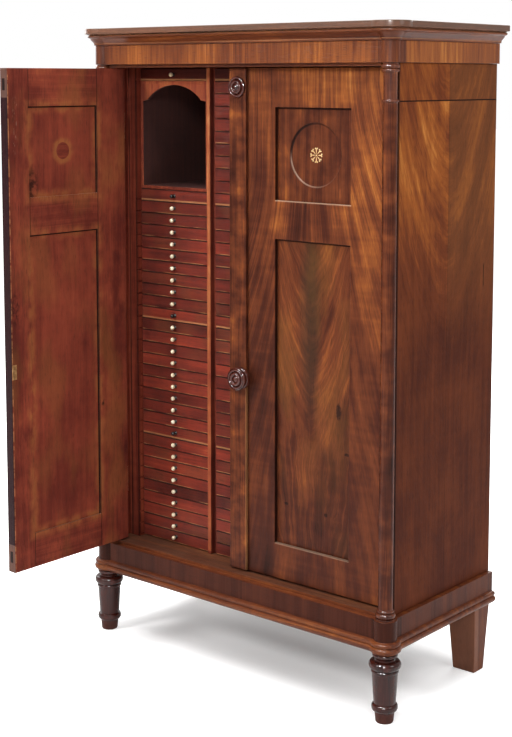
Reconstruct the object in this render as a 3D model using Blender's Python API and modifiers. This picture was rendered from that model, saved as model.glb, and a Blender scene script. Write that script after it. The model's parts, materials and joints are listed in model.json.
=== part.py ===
"""Mahogany collectors cabinet: corner columns, panelled doors and banks of shallow drawers."""
import math

import bmesh
import bpy
from mathutils import Matrix

# Clearance that neighbouring pieces keep
GAP = 0.0003

# Depth to which shapes of one piece run into each other
OVERLAP = 0.001

# Distance between the axes of the two front columns, from which the plan is measured
AXIS_SPACING = 0.791

# Heights, from the floor up
FOOT_HEIGHT = 0.146
BASE_MOULDING_HEIGHT = 0.025
PLINTH_HEIGHT = 0.042
BOTTOM_BOARD = 0.008
ROW_CLEAR = 0.002
ROW_PITCH = 0.0272
ROWS = 40
TOP_BOARD = 0.007
FRIEZE_HEIGHT = 0.043
CORNICE_HEIGHT = 0.037
CORNICE_BOARD = 0.012

# Round corner breaks and the flat faces between them
FRIEZE_ROUND = 0.018
FRIEZE_FACE = 0.011
CORNICE_REACH = 0.0235
PLINTH_ROUND = 0.024
PLINTH_FACE = 0.015
BASE_REACH = 0.0095
BAND_WIDTH = 0.060
LEDGE_FRONT_Y = -0.002

# Carcass boards
SIDE_PROUD = 0.005
SIDE_THICKNESS = 0.022
BACK_THICKNESS = 0.012
STILE_WIDTH = 0.005
COLUMN_RADIUS = 0.015
COLUMN_BASE_RADIUS = 0.0205
FRONT_FOOT_RADIUS = 0.0265
REAR_FOOT_TOP = (0.071, 0.060)
REAR_FOOT_BOTTOM = (0.054, 0.038)
REAR_FOOT_INSET = 0.004

# Doors, hung on pins just in front of their faces
DOOR_FACE_Y = 0.022
DOOR_THICKNESS = 0.022
PIN_PROUD = 0.004
EDGE_GAP = 0.001
DOOR_CLEAR_BOTTOM = 0.004
DOOR_CLEAR_TOP = 0.002
LEFT_DOOR_OPEN = math.radians(91)
MEETING_GAP = 0.003
HINGE_STILE = 0.086
PANEL_WIDTH = 0.196
TOP_RAIL = 0.081
UPPER_PANEL_HEIGHT = 0.194
MID_RAIL = 0.081
BOTTOM_RAIL = 0.076
PANEL_SUNK = 0.010
PANEL_THICKNESS = 0.008
PANEL_TONGUE = 0.006
ROUND_SINKING_RADIUS = 0.067
ROUND_SINKING_DEPTH = 0.003
STRIP_LEFT = -0.030
STRIP_WIDTH = 0.046
STRIP_PROUD = 0.008
ROUNDEL_RADIUS = 0.0225
ROUNDEL_BELOW_TOP = 0.040
PULL_RADIUS = 0.0245
PULL_FOOT_RADIUS = 0.010
PULL_REACH = 0.027
PULL_Z = 0.650

# Butt hinges
BARREL_RADIUS = 0.0035
HINGE_LENGTH = 0.060
LEAF_DEPTH = 0.024
HINGE_INSET = 0.130

# Drawers and the case they run in
LINER_INSET = 0.055
LINER_CLEAR = 0.004
BANK_WIDTH = 0.207
DIVIDER = 0.020
DIVIDER_PROUD = 0.006
KNOB_REACH = 0.013
KNOB_RADIUS = 0.00475
KNOB_CLEAR = 0.005
KNOB_ROOT = 0.002
DRAWER_DEPTH = 0.300
DRAWER_BACK_CLEAR = 0.0107
DRAWER_SEAM = 0.001
DRAWER_SIDE_CLEAR = 0.0005
DRAWER_FRONT = 0.009
DRAWER_WALL = 0.006
DRAWER_BOTTOM = 0.003
TONGUE_REACH = 0.0025
TONGUE_LIFT = 0.001
SEAM_DEPTH = 0.003
FIXED_BANK_DEPTH = 0.090
DRAWERS_BELOW_PIGEONHOLE = 30
PIGEONHOLE_WALL = 0.007
PIGEONHOLE_FASCIA = 0.008
ARCH_RISE = 0.037
ARCH_CUSP = 0.004

# Facets on round work
CORNER_STEPS = 24
TURNED_STEPS = 16
KNOB_STEPS = 8
KNOB_RINGS = 3
FIXED_KNOB_STEPS = 6
FIXED_KNOB_RINGS = 2

# Levels and stations worked out from the sizes above
HALF = AXIS_SPACING / 2
Z_PLINTH = FOOT_HEIGHT + BASE_MOULDING_HEIGHT
Z_PLINTH_TOP = Z_PLINTH + PLINTH_HEIGHT
Z_LEDGE = Z_PLINTH_TOP + BOTTOM_BOARD
Z_ROWS = Z_LEDGE + ROW_CLEAR
Z_CEILING = Z_ROWS + ROWS * ROW_PITCH + ROW_CLEAR
Z_FRIEZE = Z_CEILING + TOP_BOARD
Z_CORNICE = Z_FRIEZE + FRIEZE_HEIGHT
Z_TOP = Z_CORNICE + CORNICE_HEIGHT
SIDE_INNER = SIDE_THICKNESS - SIDE_PROUD
STILE_INNER = SIDE_INNER + STILE_WIDTH
PIN_INSET = STILE_INNER + EDGE_GAP
PIN_Y = DOOR_FACE_Y - PIN_PROUD
DOOR_BACK_Y = DOOR_FACE_Y + DOOR_THICKNESS
LINER_Y = DOOR_BACK_Y + LINER_CLEAR
FRONT_Y = DOOR_BACK_Y + KNOB_REACH + KNOB_CLEAR
DIVIDER_Y = FRONT_Y - DIVIDER_PROUD
INNER_BACK_Y = FRONT_Y + DRAWER_DEPTH + DRAWER_BACK_CLEAR
BACK_Y = INNER_BACK_Y + GAP + BACK_THICKNESS
DOOR_BOTTOM = Z_LEDGE + DOOR_CLEAR_BOTTOM
DOOR_TOP = Z_CEILING - DOOR_CLEAR_TOP
LEFT_DOOR_REACH = HALF + STRIP_LEFT - MEETING_GAP - PIN_INSET
RIGHT_DOOR_REACH = HALF - STRIP_LEFT - PIN_INSET
BANK_LEFT = LINER_INSET - HALF
BANK_RIGHT = BANK_LEFT + BANK_WIDTH
MIDDLE_LEFT = BANK_RIGHT + DIVIDER
FAR_CORNERS = (PIN_PROUD, PIN_PROUD + DOOR_THICKNESS)
FRONT_MOST_Y = PIN_Y + min(
    math.cos(LEFT_DOOR_OPEN) * y - math.sin(LEFT_DOOR_OPEN) * LEFT_DOOR_REACH for y in FAR_CORNERS
)
DATUM_Y = -(FRONT_MOST_Y + BACK_Y) / 2


def clear_scene():
    for obj in list(bpy.data.objects):
        bpy.data.objects.remove(obj, do_unlink=True)


def collection(name):
    group = bpy.data.collections.new(name)
    bpy.context.scene.collection.children.link(group)
    return group


def principled(name, colour, roughness, metallic=0.0):
    material = bpy.data.materials.new(name)
    material.use_nodes = True
    shader = material.node_tree.nodes["Principled BSDF"]
    shader.inputs["Base Color"].default_value = (*colour, 1.0)
    shader.inputs["Roughness"].default_value = roughness
    shader.inputs["Metallic"].default_value = metallic
    return material


def empty(name, parent, location, turn=0.0):
    obj = bpy.data.objects.new(name, None)
    PARTS.objects.link(obj)
    obj.parent = parent
    obj.location = location
    obj.rotation_euler.z = turn
    return obj


def place(name, mesh, material, parent=None, location=(0, 0, 0)):
    obj = bpy.data.objects.new(name, mesh)
    PARTS.objects.link(obj)
    mesh.materials.clear()
    mesh.materials.append(material)
    obj.parent = parent or DATUM
    obj.location = location
    return obj


def tool(name, mesh, parent=None, location=(0, 0, 0)):
    obj = bpy.data.objects.new(name, mesh)
    CUTTERS.objects.link(obj)
    obj.parent = parent or DATUM
    obj.location = location
    obj.hide_render = True
    obj.display_type = "WIRE"
    return obj


def boolean(target, operation, *tools):
    for other in tools:
        modifier = target.modifiers.new(other.name, "BOOLEAN")
        modifier.operation = operation
        modifier.solver = "EXACT"
        modifier.object = other


def box(low, high):
    size = [b - a for a, b in zip(low, high)]
    middle = [(a + b) / 2 for a, b in zip(low, high)]
    bm = bmesh.new()
    bmesh.ops.create_cube(bm, size=1, matrix=Matrix.Translation(middle) @ Matrix.Diagonal((*size, 1)))
    mesh = bpy.data.meshes.new("box")
    bm.to_mesh(mesh)
    bm.free()
    return mesh


def rod(radius, length, steps, matrix):
    bm = bmesh.new()
    bmesh.ops.create_cone(
        bm, cap_ends=True, segments=steps, radius1=radius, radius2=radius, depth=length, matrix=matrix
    )
    mesh = bpy.data.meshes.new("rod")
    bm.to_mesh(mesh)
    bm.free()
    return mesh


def outward(mesh):
    """The mesh with its coincident points welded and its faces pointing out."""
    bm = bmesh.new()
    bm.from_mesh(mesh)
    bmesh.ops.remove_doubles(bm, verts=bm.verts, dist=1e-6)
    bmesh.ops.recalc_face_normals(bm, faces=bm.faces)
    bm.to_mesh(mesh)
    bm.free()
    return mesh


def evaluated_mesh(obj):
    """The object's shape with its modifiers, as a mesh of its own."""
    bpy.context.view_layer.update()
    shape = obj.evaluated_get(bpy.context.evaluated_depsgraph_get())
    return outward(bpy.data.meshes.new_from_object(shape))


def prism(points, thickness, matrix):
    """A flat outline given thickness, turned into place by a matrix."""
    curve = bpy.data.curves.new("outline", "CURVE")
    curve.dimensions = "2D"
    curve.fill_mode = "BOTH"
    curve.extrude = thickness / 2
    spline = curve.splines.new("POLY")
    spline.points.add(len(points) - 1)
    spline.use_cyclic_u = True
    for knot, (x, y) in zip(spline.points, points):
        knot.co = (x, y, 0, 1)
    obj = bpy.data.objects.new("outline", curve)
    CUTTERS.objects.link(obj)
    mesh = evaluated_mesh(obj)
    bpy.data.objects.remove(obj, do_unlink=True)
    mesh.transform(matrix)
    return outward(mesh)


def turned_mesh(profile, steps):
    """A profile of radius and height, listed from the top, spun about the Z axis."""
    mesh = bpy.data.meshes.new("profile")
    mesh.from_pydata([(r, 0, z) for r, z in profile], [(i, i + 1) for i in range(len(profile) - 1)], [])
    obj = bpy.data.objects.new("profile", mesh)
    CUTTERS.objects.link(obj)
    screw = obj.modifiers.new("turn", "SCREW")
    screw.axis = "Z"
    screw.steps = steps
    screw.render_steps = steps
    screw.use_merge_vertices = True
    screw.merge_threshold = 0.00001
    result = evaluated_mesh(obj)
    bpy.data.objects.remove(obj, do_unlink=True)
    result.shade_smooth()
    result.set_sharp_from_angle(angle=math.radians(35))
    return result


def half_round(radius, top, bottom, bulge, steps=4):
    """A bead that swells by bulge between two heights."""
    middle = (top + bottom) / 2
    half = (top - bottom) / 2
    turns = [math.pi * i / steps for i in range(steps + 1)]
    return [(radius + bulge * math.sin(a), middle + half * math.cos(a)) for a in turns]


def ogee(start, end, top, bottom, steps=4):
    """A curve of double bend from one reach to another."""
    shares = [i / steps for i in range(steps + 1)]
    return [
        (start + (end - start) * (1 - math.cos(math.pi * t)) / 2, top + (bottom - top) * t) for t in shares
    ]


def cornice_profile():
    def level(share):
        return Z_TOP - share * CORNICE_HEIGHT

    reach = CORNICE_REACH
    return [
        (reach * 0.95, level(0.0)),
        (reach, level(0.03)),
        (reach, level(0.33)),
        (reach * 0.66, level(0.38)),
        *half_round(reach * 0.64, level(0.40), level(0.56), reach * 0.12),
        *ogee(reach * 0.50, reach * 0.14, level(0.60), level(0.92)),
        (reach * 0.14, level(1.0)),
    ]


def base_profile():
    def level(share):
        return FOOT_HEIGHT + share * BASE_MOULDING_HEIGHT

    return [
        (0.0, Z_PLINTH_TOP),
        (0.0, level(1.0)),
        *half_round(BASE_REACH * 0.45, level(0.96), level(0.58), BASE_REACH * 0.35),
        *half_round(BASE_REACH * 0.62, level(0.54), level(0.08), BASE_REACH * 0.38),
        (BASE_REACH * 0.5, level(0.0)),
    ]


def banded_frame(name, profile, face, corner_radius, material):
    """A moulded band round the front and sides, breaking round over each column."""
    top = profile[0][1]
    bottom = profile[-1][1]
    inner = face - BAND_WIDTH
    section = [(face + p, z) for p, z in profile] + [(inner, bottom), (inner, top)]
    front_turn = Matrix(((0, 0, 1, 0), (-1, 0, 0, 0), (0, 1, 0, 0), (0, 0, 0, 1)))
    frame = place(name, prism(section, AXIS_SPACING, front_turn), material)
    spun = [(0, top)] + [(corner_radius + p, z) for p, z in profile] + [(0, bottom)]
    for side, label in SIDES:
        side_turn = Matrix(((side, 0, 0, side * HALF), (0, 0, 1, BACK_Y / 2), (0, 1, 0, 0), (0, 0, 0, 1)))
        run = tool(name + "_run_" + label, prism(section, BACK_Y, side_turn))
        corner = tool(name + "_round_" + label, turned_mesh(spun, CORNER_STEPS), location=(side * HALF, 0, 0))
        boolean(frame, "UNION", run, corner)
    return frame


def inset_box(side, insets, depths, heights):
    """A box placed by its distance in from one column axis."""
    edges = sorted(side * (HALF - inset) for inset in insets)
    return box((edges[0], depths[0], heights[0]), (edges[1], depths[1], heights[1]))


def between_columns(front, back, bottom, top):
    """A board across the width between the columns."""
    half = HALF - COLUMN_BASE_RADIUS - GAP
    return box((-half, front, bottom), (half, back, top))


def cornice():
    frame = banded_frame("cornice", cornice_profile(), FRIEZE_FACE, FRIEZE_ROUND, POLISHED)
    board = between_columns(FRIEZE_FACE, BACK_Y, Z_TOP - CORNICE_BOARD, Z_TOP)
    rail = between_columns(BACK_Y - 2 * BACK_THICKNESS, BACK_Y, Z_CORNICE, Z_TOP - OVERLAP)
    boolean(frame, "UNION", tool("cornice_board", board), tool("cornice_rail", rail))


def frieze():
    profile = [(0, Z_CORNICE - GAP), (0, Z_FRIEZE)]
    frame = banded_frame("frieze", profile, FRIEZE_FACE, FRIEZE_ROUND, POLISHED)
    board = between_columns(LEDGE_FRONT_Y, INNER_BACK_Y, Z_CEILING, Z_FRIEZE + OVERLAP)
    rail = between_columns(BACK_Y - 2 * BACK_THICKNESS, BACK_Y, Z_FRIEZE, Z_CORNICE - GAP)
    boolean(frame, "UNION", tool("frieze_board", board), tool("frieze_rail", rail))


def plinth():
    frame = banded_frame("plinth", base_profile(), PLINTH_FACE, PLINTH_ROUND, POLISHED)
    board = between_columns(LEDGE_FRONT_Y, INNER_BACK_Y, Z_PLINTH_TOP - OVERLAP, Z_LEDGE)
    rail = between_columns(BACK_Y - 2 * BACK_THICKNESS, BACK_Y, FOOT_HEIGHT, Z_PLINTH_TOP)
    boolean(frame, "UNION", tool("plinth_board", board), tool("plinth_rail", rail))


def column_profile(top, bottom):
    """Mouldings are set out in parts, of which the shaft's radius has 30."""
    r = COLUMN_RADIUS
    base = COLUMN_BASE_RADIUS
    part = r / 30
    return [
        (0, top),
        (r * 1.16, top),
        (r * 1.16, top - 8 * part),
        *ogee(r * 1.12, r * 0.98, top - 9 * part, top - 30 * part),
        *half_round(r * 0.98, top - 31 * part, top - 45 * part, 4 * part),
        (r * 0.92, top - 47 * part),
        (r * 0.92, top - 142 * part),
        *half_round(r * 0.97, top - 143 * part, top - 157 * part, 5 * part),
        (r * 0.97, top - 159 * part),
        (r, bottom + 41 * part),
        *half_round(r * 1.02, bottom + 40 * part, bottom + 29 * part, 5 * part),
        *half_round(base - 9 * part, bottom + 28 * part, bottom + 6 * part, 9 * part),
        (base, bottom + 5 * part),
        (base, bottom),
        (0, bottom),
    ]


def column(side, label):
    profile = column_profile(Z_FRIEZE - GAP, Z_PLINTH_TOP + GAP)
    place("column_" + label, turned_mesh(profile, TURNED_STEPS), DARK, location=(side * HALF, 0, 0))


def front_foot(side, label):
    """Radii are set out in parts, of which the top of the shaft has 53."""
    part = FRONT_FOOT_RADIUS / 53

    def level(share):
        return share * (FOOT_HEIGHT - GAP)

    profile = [
        (0, level(1)),
        (47 * part, level(1)),
        *half_round(45 * part, level(0.99), level(0.93), 7 * part),
        (41 * part, level(0.91)),
        (43 * part, level(0.89)),
        *half_round(53 * part, level(0.885), level(0.765), 13 * part),
        *half_round(53 * part, level(0.755), level(0.71), 3.6 * part, 3),
        (53 * part, level(0.70)),
        (45.6 * part, level(0.275)),
        *half_round(45 * part, level(0.27), level(0.165), 9 * part),
        (41 * part, level(0.155)),
        (37 * part, level(0.015)),
        (34.4 * part, 0),
        (0, 0),
    ]
    place("foot_front_" + label, turned_mesh(profile, TURNED_STEPS), DARK, location=(side * HALF, 0, 0))


def rear_foot(side, label):
    """A square block that tapers on its inner and back faces."""
    outer = PLINTH_FACE - REAR_FOOT_INSET
    front = BACK_Y - REAR_FOOT_INSET - REAR_FOOT_TOP[1]
    mesh = inset_box(
        side, (-outer, REAR_FOOT_TOP[0] - outer), (front, front + REAR_FOOT_TOP[1]), (0, FOOT_HEIGHT - GAP)
    )
    inner_x = side * (HALF - REAR_FOOT_BOTTOM[0] + outer)
    for vertex in mesh.vertices:
        if vertex.co.z > FOOT_HEIGHT / 2:
            continue
        if abs(vertex.co.x) < HALF:
            vertex.co.x = inner_x
        if vertex.co.y > front + REAR_FOOT_TOP[1] / 2:
            vertex.co.y = front + REAR_FOOT_BOTTOM[1]
    place("foot_rear_" + label, mesh, DARK)


def along_depth(front, back):
    """Turns an outline of width and height so that its thickness runs from front to back."""
    return Matrix(((1, 0, 0, 0), (0, 0, 1, (front + back) / 2), (0, 1, 0, 0), (0, 0, 0, 1)))


def grooved_outline(plain_x, grooved_x, groove_x):
    """A board seen from the front, with a groove for each sliding drawer."""
    bottom = Z_LEDGE + GAP
    top = Z_CEILING - GAP
    points = [(plain_x, top), (plain_x, bottom), (grooved_x, bottom)]
    for row in SLIDING_ROWS:
        low = row_z(row) + TONGUE_LIFT - GAP
        high = low + DRAWER_BOTTOM + 2 * GAP
        points += [(grooved_x, low), (groove_x, low), (groove_x, high), (grooved_x, high)]
    return points + [(grooved_x, top)]


def row_z(row):
    return Z_ROWS + row * ROW_PITCH


def carcass_side(side, label):
    """An outer board with the hanging stile and the drawer liner glued to it."""
    heights = (Z_PLINTH_TOP + GAP, Z_FRIEZE - GAP)
    inside = (Z_LEDGE + GAP, Z_CEILING - GAP)
    root = SIDE_INNER - OVERLAP
    front = COLUMN_BASE_RADIUS + GAP
    board = place(
        "side_" + label, inset_box(side, (-SIDE_PROUD, SIDE_INNER), (front, BACK_Y), heights), POLISHED
    )
    stile = inset_box(side, (root, STILE_INNER), (DOOR_FACE_Y, LINER_Y + OVERLAP), inside)
    if side < 0:
        outline = grooved_outline(root - HALF, BANK_LEFT, BANK_LEFT - TONGUE_REACH - GAP)
        liner = prism(outline, INNER_BACK_Y - LINER_Y, along_depth(LINER_Y, INNER_BACK_Y))
    else:
        liner = inset_box(side, (root, LINER_INSET), (LINER_Y, INNER_BACK_Y), inside)
    boolean(board, "UNION", tool("liner_" + label, liner), tool("stile_" + label, stile))


def back_panel():
    half = HALF - SIDE_INNER - GAP
    low = (-half, BACK_Y - BACK_THICKNESS, Z_PLINTH_TOP + GAP)
    place("back_panel", box(low, (half, BACK_Y, Z_FRIEZE - GAP)), INNER)


def dividers():
    depth = INNER_BACK_Y - DIVIDER_Y
    outline = grooved_outline(MIDDLE_LEFT, BANK_RIGHT, BANK_RIGHT + TONGUE_REACH + GAP)
    place("divider_left", prism(outline, depth, along_depth(DIVIDER_Y, INNER_BACK_Y)), INNER)
    low = (-MIDDLE_LEFT, DIVIDER_Y, Z_LEDGE + GAP)
    place("divider_right", box(low, (-BANK_RIGHT, INNER_BACK_Y, Z_CEILING - GAP)), INNER)


def knob_mesh(steps, rings):
    """A small turned knob that points forward, its root sunk into the drawer front."""
    r = KNOB_RADIUS
    head = 0.62 * KNOB_REACH
    profile = [(0, KNOB_REACH)]
    profile += half_round(r * 0.45, KNOB_REACH, KNOB_REACH - head, r * 0.55, rings)
    profile += [(r * 0.55, -KNOB_ROOT), (0, -KNOB_ROOT)]
    mesh = turned_mesh(profile, steps)
    mesh.transform(Matrix.Rotation(math.pi / 2, 4, "X"))
    return mesh


def repeat_mesh(mesh, places):
    """Copies of one mesh, each moved to its own place."""
    bm = bmesh.new()
    for spot in places:
        before = len(bm.verts)
        bm.from_mesh(mesh)
        bm.verts.ensure_lookup_table()
        bmesh.ops.translate(bm, vec=spot, verts=bm.verts[before:])
    result = bpy.data.meshes.new("copies")
    bm.to_mesh(result)
    bm.free()
    return result


def drawer_mesh():
    """A tray with its front and knob, whose bottom runs out into a tongue on each side."""
    half = BANK_WIDTH / 2 - DRAWER_SIDE_CLEAR
    tongue_half = BANK_WIDTH / 2 + TONGUE_REACH
    low = DRAWER_SEAM / 2
    high = ROW_PITCH - DRAWER_SEAM / 2
    floor = TONGUE_LIFT + DRAWER_BOTTOM
    tray = place("tray", box((-half, 0, low), (half, DRAWER_DEPTH, high)), INNER)
    runner = box((-tongue_half, DRAWER_FRONT, TONGUE_LIFT), (tongue_half, DRAWER_DEPTH, floor))
    tongue = tool("tongue", runner)
    knob = tool("knob", repeat_mesh(knob_mesh(KNOB_STEPS, KNOB_RINGS), [(0, 0, ROW_PITCH / 2)]))
    inner = half - DRAWER_WALL
    hollow = tool(
        "hollow", box((-inner, DRAWER_FRONT, floor), (inner, DRAWER_DEPTH - DRAWER_WALL, ROW_PITCH * 2))
    )
    boolean(tray, "UNION", tongue, knob)
    boolean(tray, "DIFFERENCE", hollow)
    mesh = evaluated_mesh(tray)
    for obj in (tray, tongue, knob, hollow):
        bpy.data.objects.remove(obj, do_unlink=True)
    return mesh


def drawers():
    mesh = drawer_mesh()
    middle = (BANK_LEFT + BANK_RIGHT) / 2
    for number, row in enumerate(reversed(SLIDING_ROWS), start=1):
        place(f"drawer_{number:02d}", mesh, INNER, location=(middle, FRONT_Y, row_z(row)))


def fixed_bank(name, left, right):
    """A bank of drawer fronts as one block, with seams cut between them and a knob on each."""
    deep = FRONT_Y + SEAM_DEPTH
    back = FRONT_Y + FIXED_BANK_DEPTH
    half_seam = DRAWER_SEAM / 2
    points = [(back, row_z(0) + half_seam), (FRONT_Y, row_z(0) + half_seam)]
    for row in range(1, ROWS):
        seam = row_z(row)
        points += [(FRONT_Y, seam - half_seam), (deep, seam - half_seam)]
        points += [(deep, seam + half_seam), (FRONT_Y, seam + half_seam)]
    points += [(FRONT_Y, row_z(ROWS) - half_seam), (back, row_z(ROWS) - half_seam)]
    across = Matrix(((0, 0, 1, (left + right) / 2), (1, 0, 0, 0), (0, 1, 0, 0), (0, 0, 0, 1)))
    bank = place(name, prism(points, right - left - 2 * DRAWER_SIDE_CLEAR, across), INNER)
    spots = [((left + right) / 2, FRONT_Y, row_z(row) + ROW_PITCH / 2) for row in range(ROWS)]
    knobs = repeat_mesh(knob_mesh(FIXED_KNOB_STEPS, FIXED_KNOB_RINGS), spots)
    boolean(bank, "UNION", tool(name + "_knobs", knobs))


def arch_outline(left, right, floor, crown):
    """An opening with upright sides and a low arch that springs from small cusps."""
    spring = crown - ARCH_RISE
    half = (right - left) / 2 - ARCH_CUSP
    radius = (half ** 2 + ARCH_RISE ** 2) / (2 * ARCH_RISE)
    sweep = math.asin(half / radius)
    middle = (left + right) / 2
    turns = [sweep * (1 - i / 6) for i in range(13)]
    arc = [(middle + radius * math.sin(a), crown - radius + radius * math.cos(a)) for a in turns]
    return [(left, floor), (right, floor), (right, spring)] + arc + [(left, spring)]


def pigeonhole():
    bottom = row_z(DRAWERS_BELOW_PIGEONHOLE) + DRAWER_SEAM / 2
    top = row_z(ROWS - 1) - DRAWER_SEAM / 2
    wall = PIGEONHOLE_WALL
    left = BANK_LEFT + GAP
    right = BANK_RIGHT - GAP
    case = place("pigeonhole", box((left, FRONT_Y, bottom), (right, INNER_BACK_Y, top)), INNER)
    inside = FRONT_Y + PIGEONHOLE_FASCIA
    room = box((left + wall, inside, bottom + wall), (right - wall, BACK_Y, top - wall))
    outline = arch_outline(left + wall, right - wall, bottom + wall, top - wall - OVERLAP)
    mouth = prism(outline, 2 * PIGEONHOLE_FASCIA, along_depth(FRONT_Y, FRONT_Y))
    mouth.transform(Matrix.Translation((0, PIGEONHOLE_FASCIA / 2, 0)))
    boolean(case, "DIFFERENCE", tool("pigeonhole_room", room), tool("pigeonhole_mouth", mouth))


def door_box(inward, reaches, depths, heights):
    """A box placed by its distance from the pin along a door and behind the pin."""
    edges = sorted(inward * reach for reach in reaches)
    return box((edges[0], depths[0], heights[0]), (edges[1], depths[1], heights[1]))


def panel(name, pin, inward, heights, round_sinking):
    near = EDGE_GAP + HINGE_STILE
    far = near + PANEL_WIDTH
    front = PIN_PROUD + PANEL_SUNK
    back = front + PANEL_THICKNESS
    tongue = PANEL_TONGUE - GAP
    tall = (heights[0] - tongue, heights[1] + tongue)
    mesh = door_box(inward, (near - tongue, far + tongue), (front, back), tall)
    board = place(name, mesh, POLISHED, pin)
    if round_sinking:
        centre = (inward * (near + far) / 2, front, sum(heights) / 2)
        facing = Matrix.Translation(centre) @ Matrix.Rotation(math.pi / 2, 4, "X")
        disc = rod(ROUND_SINKING_RADIUS, 2 * ROUND_SINKING_DEPTH, 2 * CORNER_STEPS, facing)
        boolean(board, "DIFFERENCE", tool(name + "_sinking", disc, pin))


def door(label, pin, inward, reach):
    """A frame grooved for two sunk panels, hung on a pin at the cabinet's corner."""
    back = PIN_PROUD + DOOR_THICKNESS
    near = EDGE_GAP + HINGE_STILE
    far = near + PANEL_WIDTH
    upper_top = DOOR_TOP - TOP_RAIL
    upper = (upper_top - UPPER_PANEL_HEIGHT, upper_top)
    lower = (DOOR_BOTTOM + BOTTOM_RAIL, upper[0] - MID_RAIL)
    mesh = door_box(inward, (EDGE_GAP, reach), (PIN_PROUD, back), (DOOR_BOTTOM, DOOR_TOP))
    frame = place(f"door_{label}_frame", mesh, POLISHED, pin)
    groove = (PIN_PROUD + PANEL_SUNK - GAP, PIN_PROUD + PANEL_SUNK + PANEL_THICKNESS + GAP)
    for name, heights in (("upper", upper), ("lower", lower)):
        through = door_box(inward, (near, far), (0, 2 * back), heights)
        wide = (heights[0] - PANEL_TONGUE, heights[1] + PANEL_TONGUE)
        slot = door_box(inward, (near - PANEL_TONGUE, far + PANEL_TONGUE), groove, wide)
        boolean(frame, "DIFFERENCE", tool(f"door_{label}_{name}_opening", through, pin))
        boolean(frame, "DIFFERENCE", tool(f"door_{label}_{name}_groove", slot, pin))
        panel(f"door_{label}_{name}_panel", pin, inward, heights, name == "upper")


def forward_turned(profile):
    mesh = turned_mesh(profile, TURNED_STEPS)
    mesh.transform(Matrix.Rotation(math.pi / 2, 4, "X"))
    return mesh


def roundel_profile():
    """Heights are set out in parts, of which the radius has 45."""
    r = ROUNDEL_RADIUS
    part = r / 45
    return [
        (0, 18 * part),
        (r * 0.16, 17 * part),
        (r * 0.30, 10 * part),
        *half_round_ring(r * 0.36, r * 0.66, 10 * part, 8 * part),
        *half_round_ring(r * 0.72, r, 6 * part, 6 * part),
        (r, -OVERLAP),
        (0, -OVERLAP),
    ]


def half_round_ring(inner, outer, height, rise, steps=4):
    """A raised ring on a turned face, listed outward."""
    turns = [math.pi * i / steps for i in range(steps + 1)]
    middle = (inner + outer) / 2
    half = (outer - inner) / 2
    return [(middle - half * math.cos(a), height + rise * math.sin(a)) for a in turns]


def meeting_strip(pin):
    left = STRIP_LEFT - (HALF - PIN_INSET)
    front = PIN_PROUD - STRIP_PROUD
    low = (left, front, DOOR_BOTTOM)
    strip = place("meeting_strip", box(low, (left + STRIP_WIDTH, PIN_PROUD - GAP, DOOR_TOP)), DARK, pin)
    middle = left + STRIP_WIDTH / 2
    spot = (middle, front, DOOR_TOP - ROUNDEL_BELOW_TOP)
    boolean(strip, "UNION", tool("roundel", forward_turned(roundel_profile()), pin, spot))
    pull_axis = left + STRIP_WIDTH - PULL_FOOT_RADIUS
    place("pull_knob", forward_turned(pull_profile()), DARK, pin, (pull_axis, front - GAP, PULL_Z))


def pull_profile():
    """A reel: a ringed face, a hollowed waist, a rear disc and a small foot."""
    r = PULL_RADIUS
    h = PULL_REACH
    return [
        (0, h * 0.96),
        (r * 0.22, h * 0.90),
        *half_round_ring(r * 0.28, r * 0.62, h * 0.86, h * 0.14),
        *half_round_ring(r * 0.66, r * 0.90, h * 0.80, h * 0.10),
        (r, h * 0.76),
        (r, h * 0.62),
        *ogee(r * 0.97, r * 0.80, h * 0.60, h * 0.50),
        *ogee(r * 0.80, r * 0.96, h * 0.46, h * 0.36),
        (r * 0.98, h * 0.34),
        (r * 0.98, h * 0.14),
        (PULL_FOOT_RADIUS, h * 0.10),
        (PULL_FOOT_RADIUS, 0),
        (0, 0),
    ]


def hinge(side, label, height, place_name):
    """A leaf on the hanging stile with its barrel and pin."""
    x = side * (HALF - PIN_INSET)
    heights = (height - HINGE_LENGTH / 2, height + HINGE_LENGTH / 2)
    insets = (STILE_INNER + GAP, PIN_INSET + EDGE_GAP - GAP)
    leaf = place(
        f"hinge_{label}_{place_name}", inset_box(side, insets, (PIN_Y, PIN_Y + LEAF_DEPTH), heights), BRASS
    )
    barrel = rod(BARREL_RADIUS, HINGE_LENGTH, TURNED_STEPS, Matrix.Translation((x, PIN_Y, height)))
    boolean(leaf, "UNION", tool(f"barrel_{label}_{place_name}", barrel))


def hinges(side, label):
    hinge(side, label, DOOR_TOP - HINGE_INSET, "upper")
    hinge(side, label, DOOR_BOTTOM + HINGE_INSET, "lower")


SIDES = ((-1, "left"), (1, "right"))
SLIDING_ROWS = list(range(DRAWERS_BELOW_PIGEONHOLE)) + [ROWS - 1]

clear_scene()
PARTS = collection("collectors_cabinet")
CUTTERS = collection("cutters")
POLISHED = principled("polished_mahogany", (0.28, 0.10, 0.045), 0.28)
DARK = principled("dark_mahogany", (0.09, 0.032, 0.018), 0.25)
INNER = principled("red_mahogany", (0.20, 0.052, 0.030), 0.45)
BRASS = principled("brass", (0.62, 0.44, 0.18), 0.35, 1.0)
DATUM = empty("front_axis_datum", None, (0, DATUM_Y, 0))
LEFT_PIN = empty("left_pin", DATUM, (PIN_INSET - HALF, PIN_Y, 0), -LEFT_DOOR_OPEN)
RIGHT_PIN = empty("right_pin", DATUM, (HALF - PIN_INSET, PIN_Y, 0))

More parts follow.
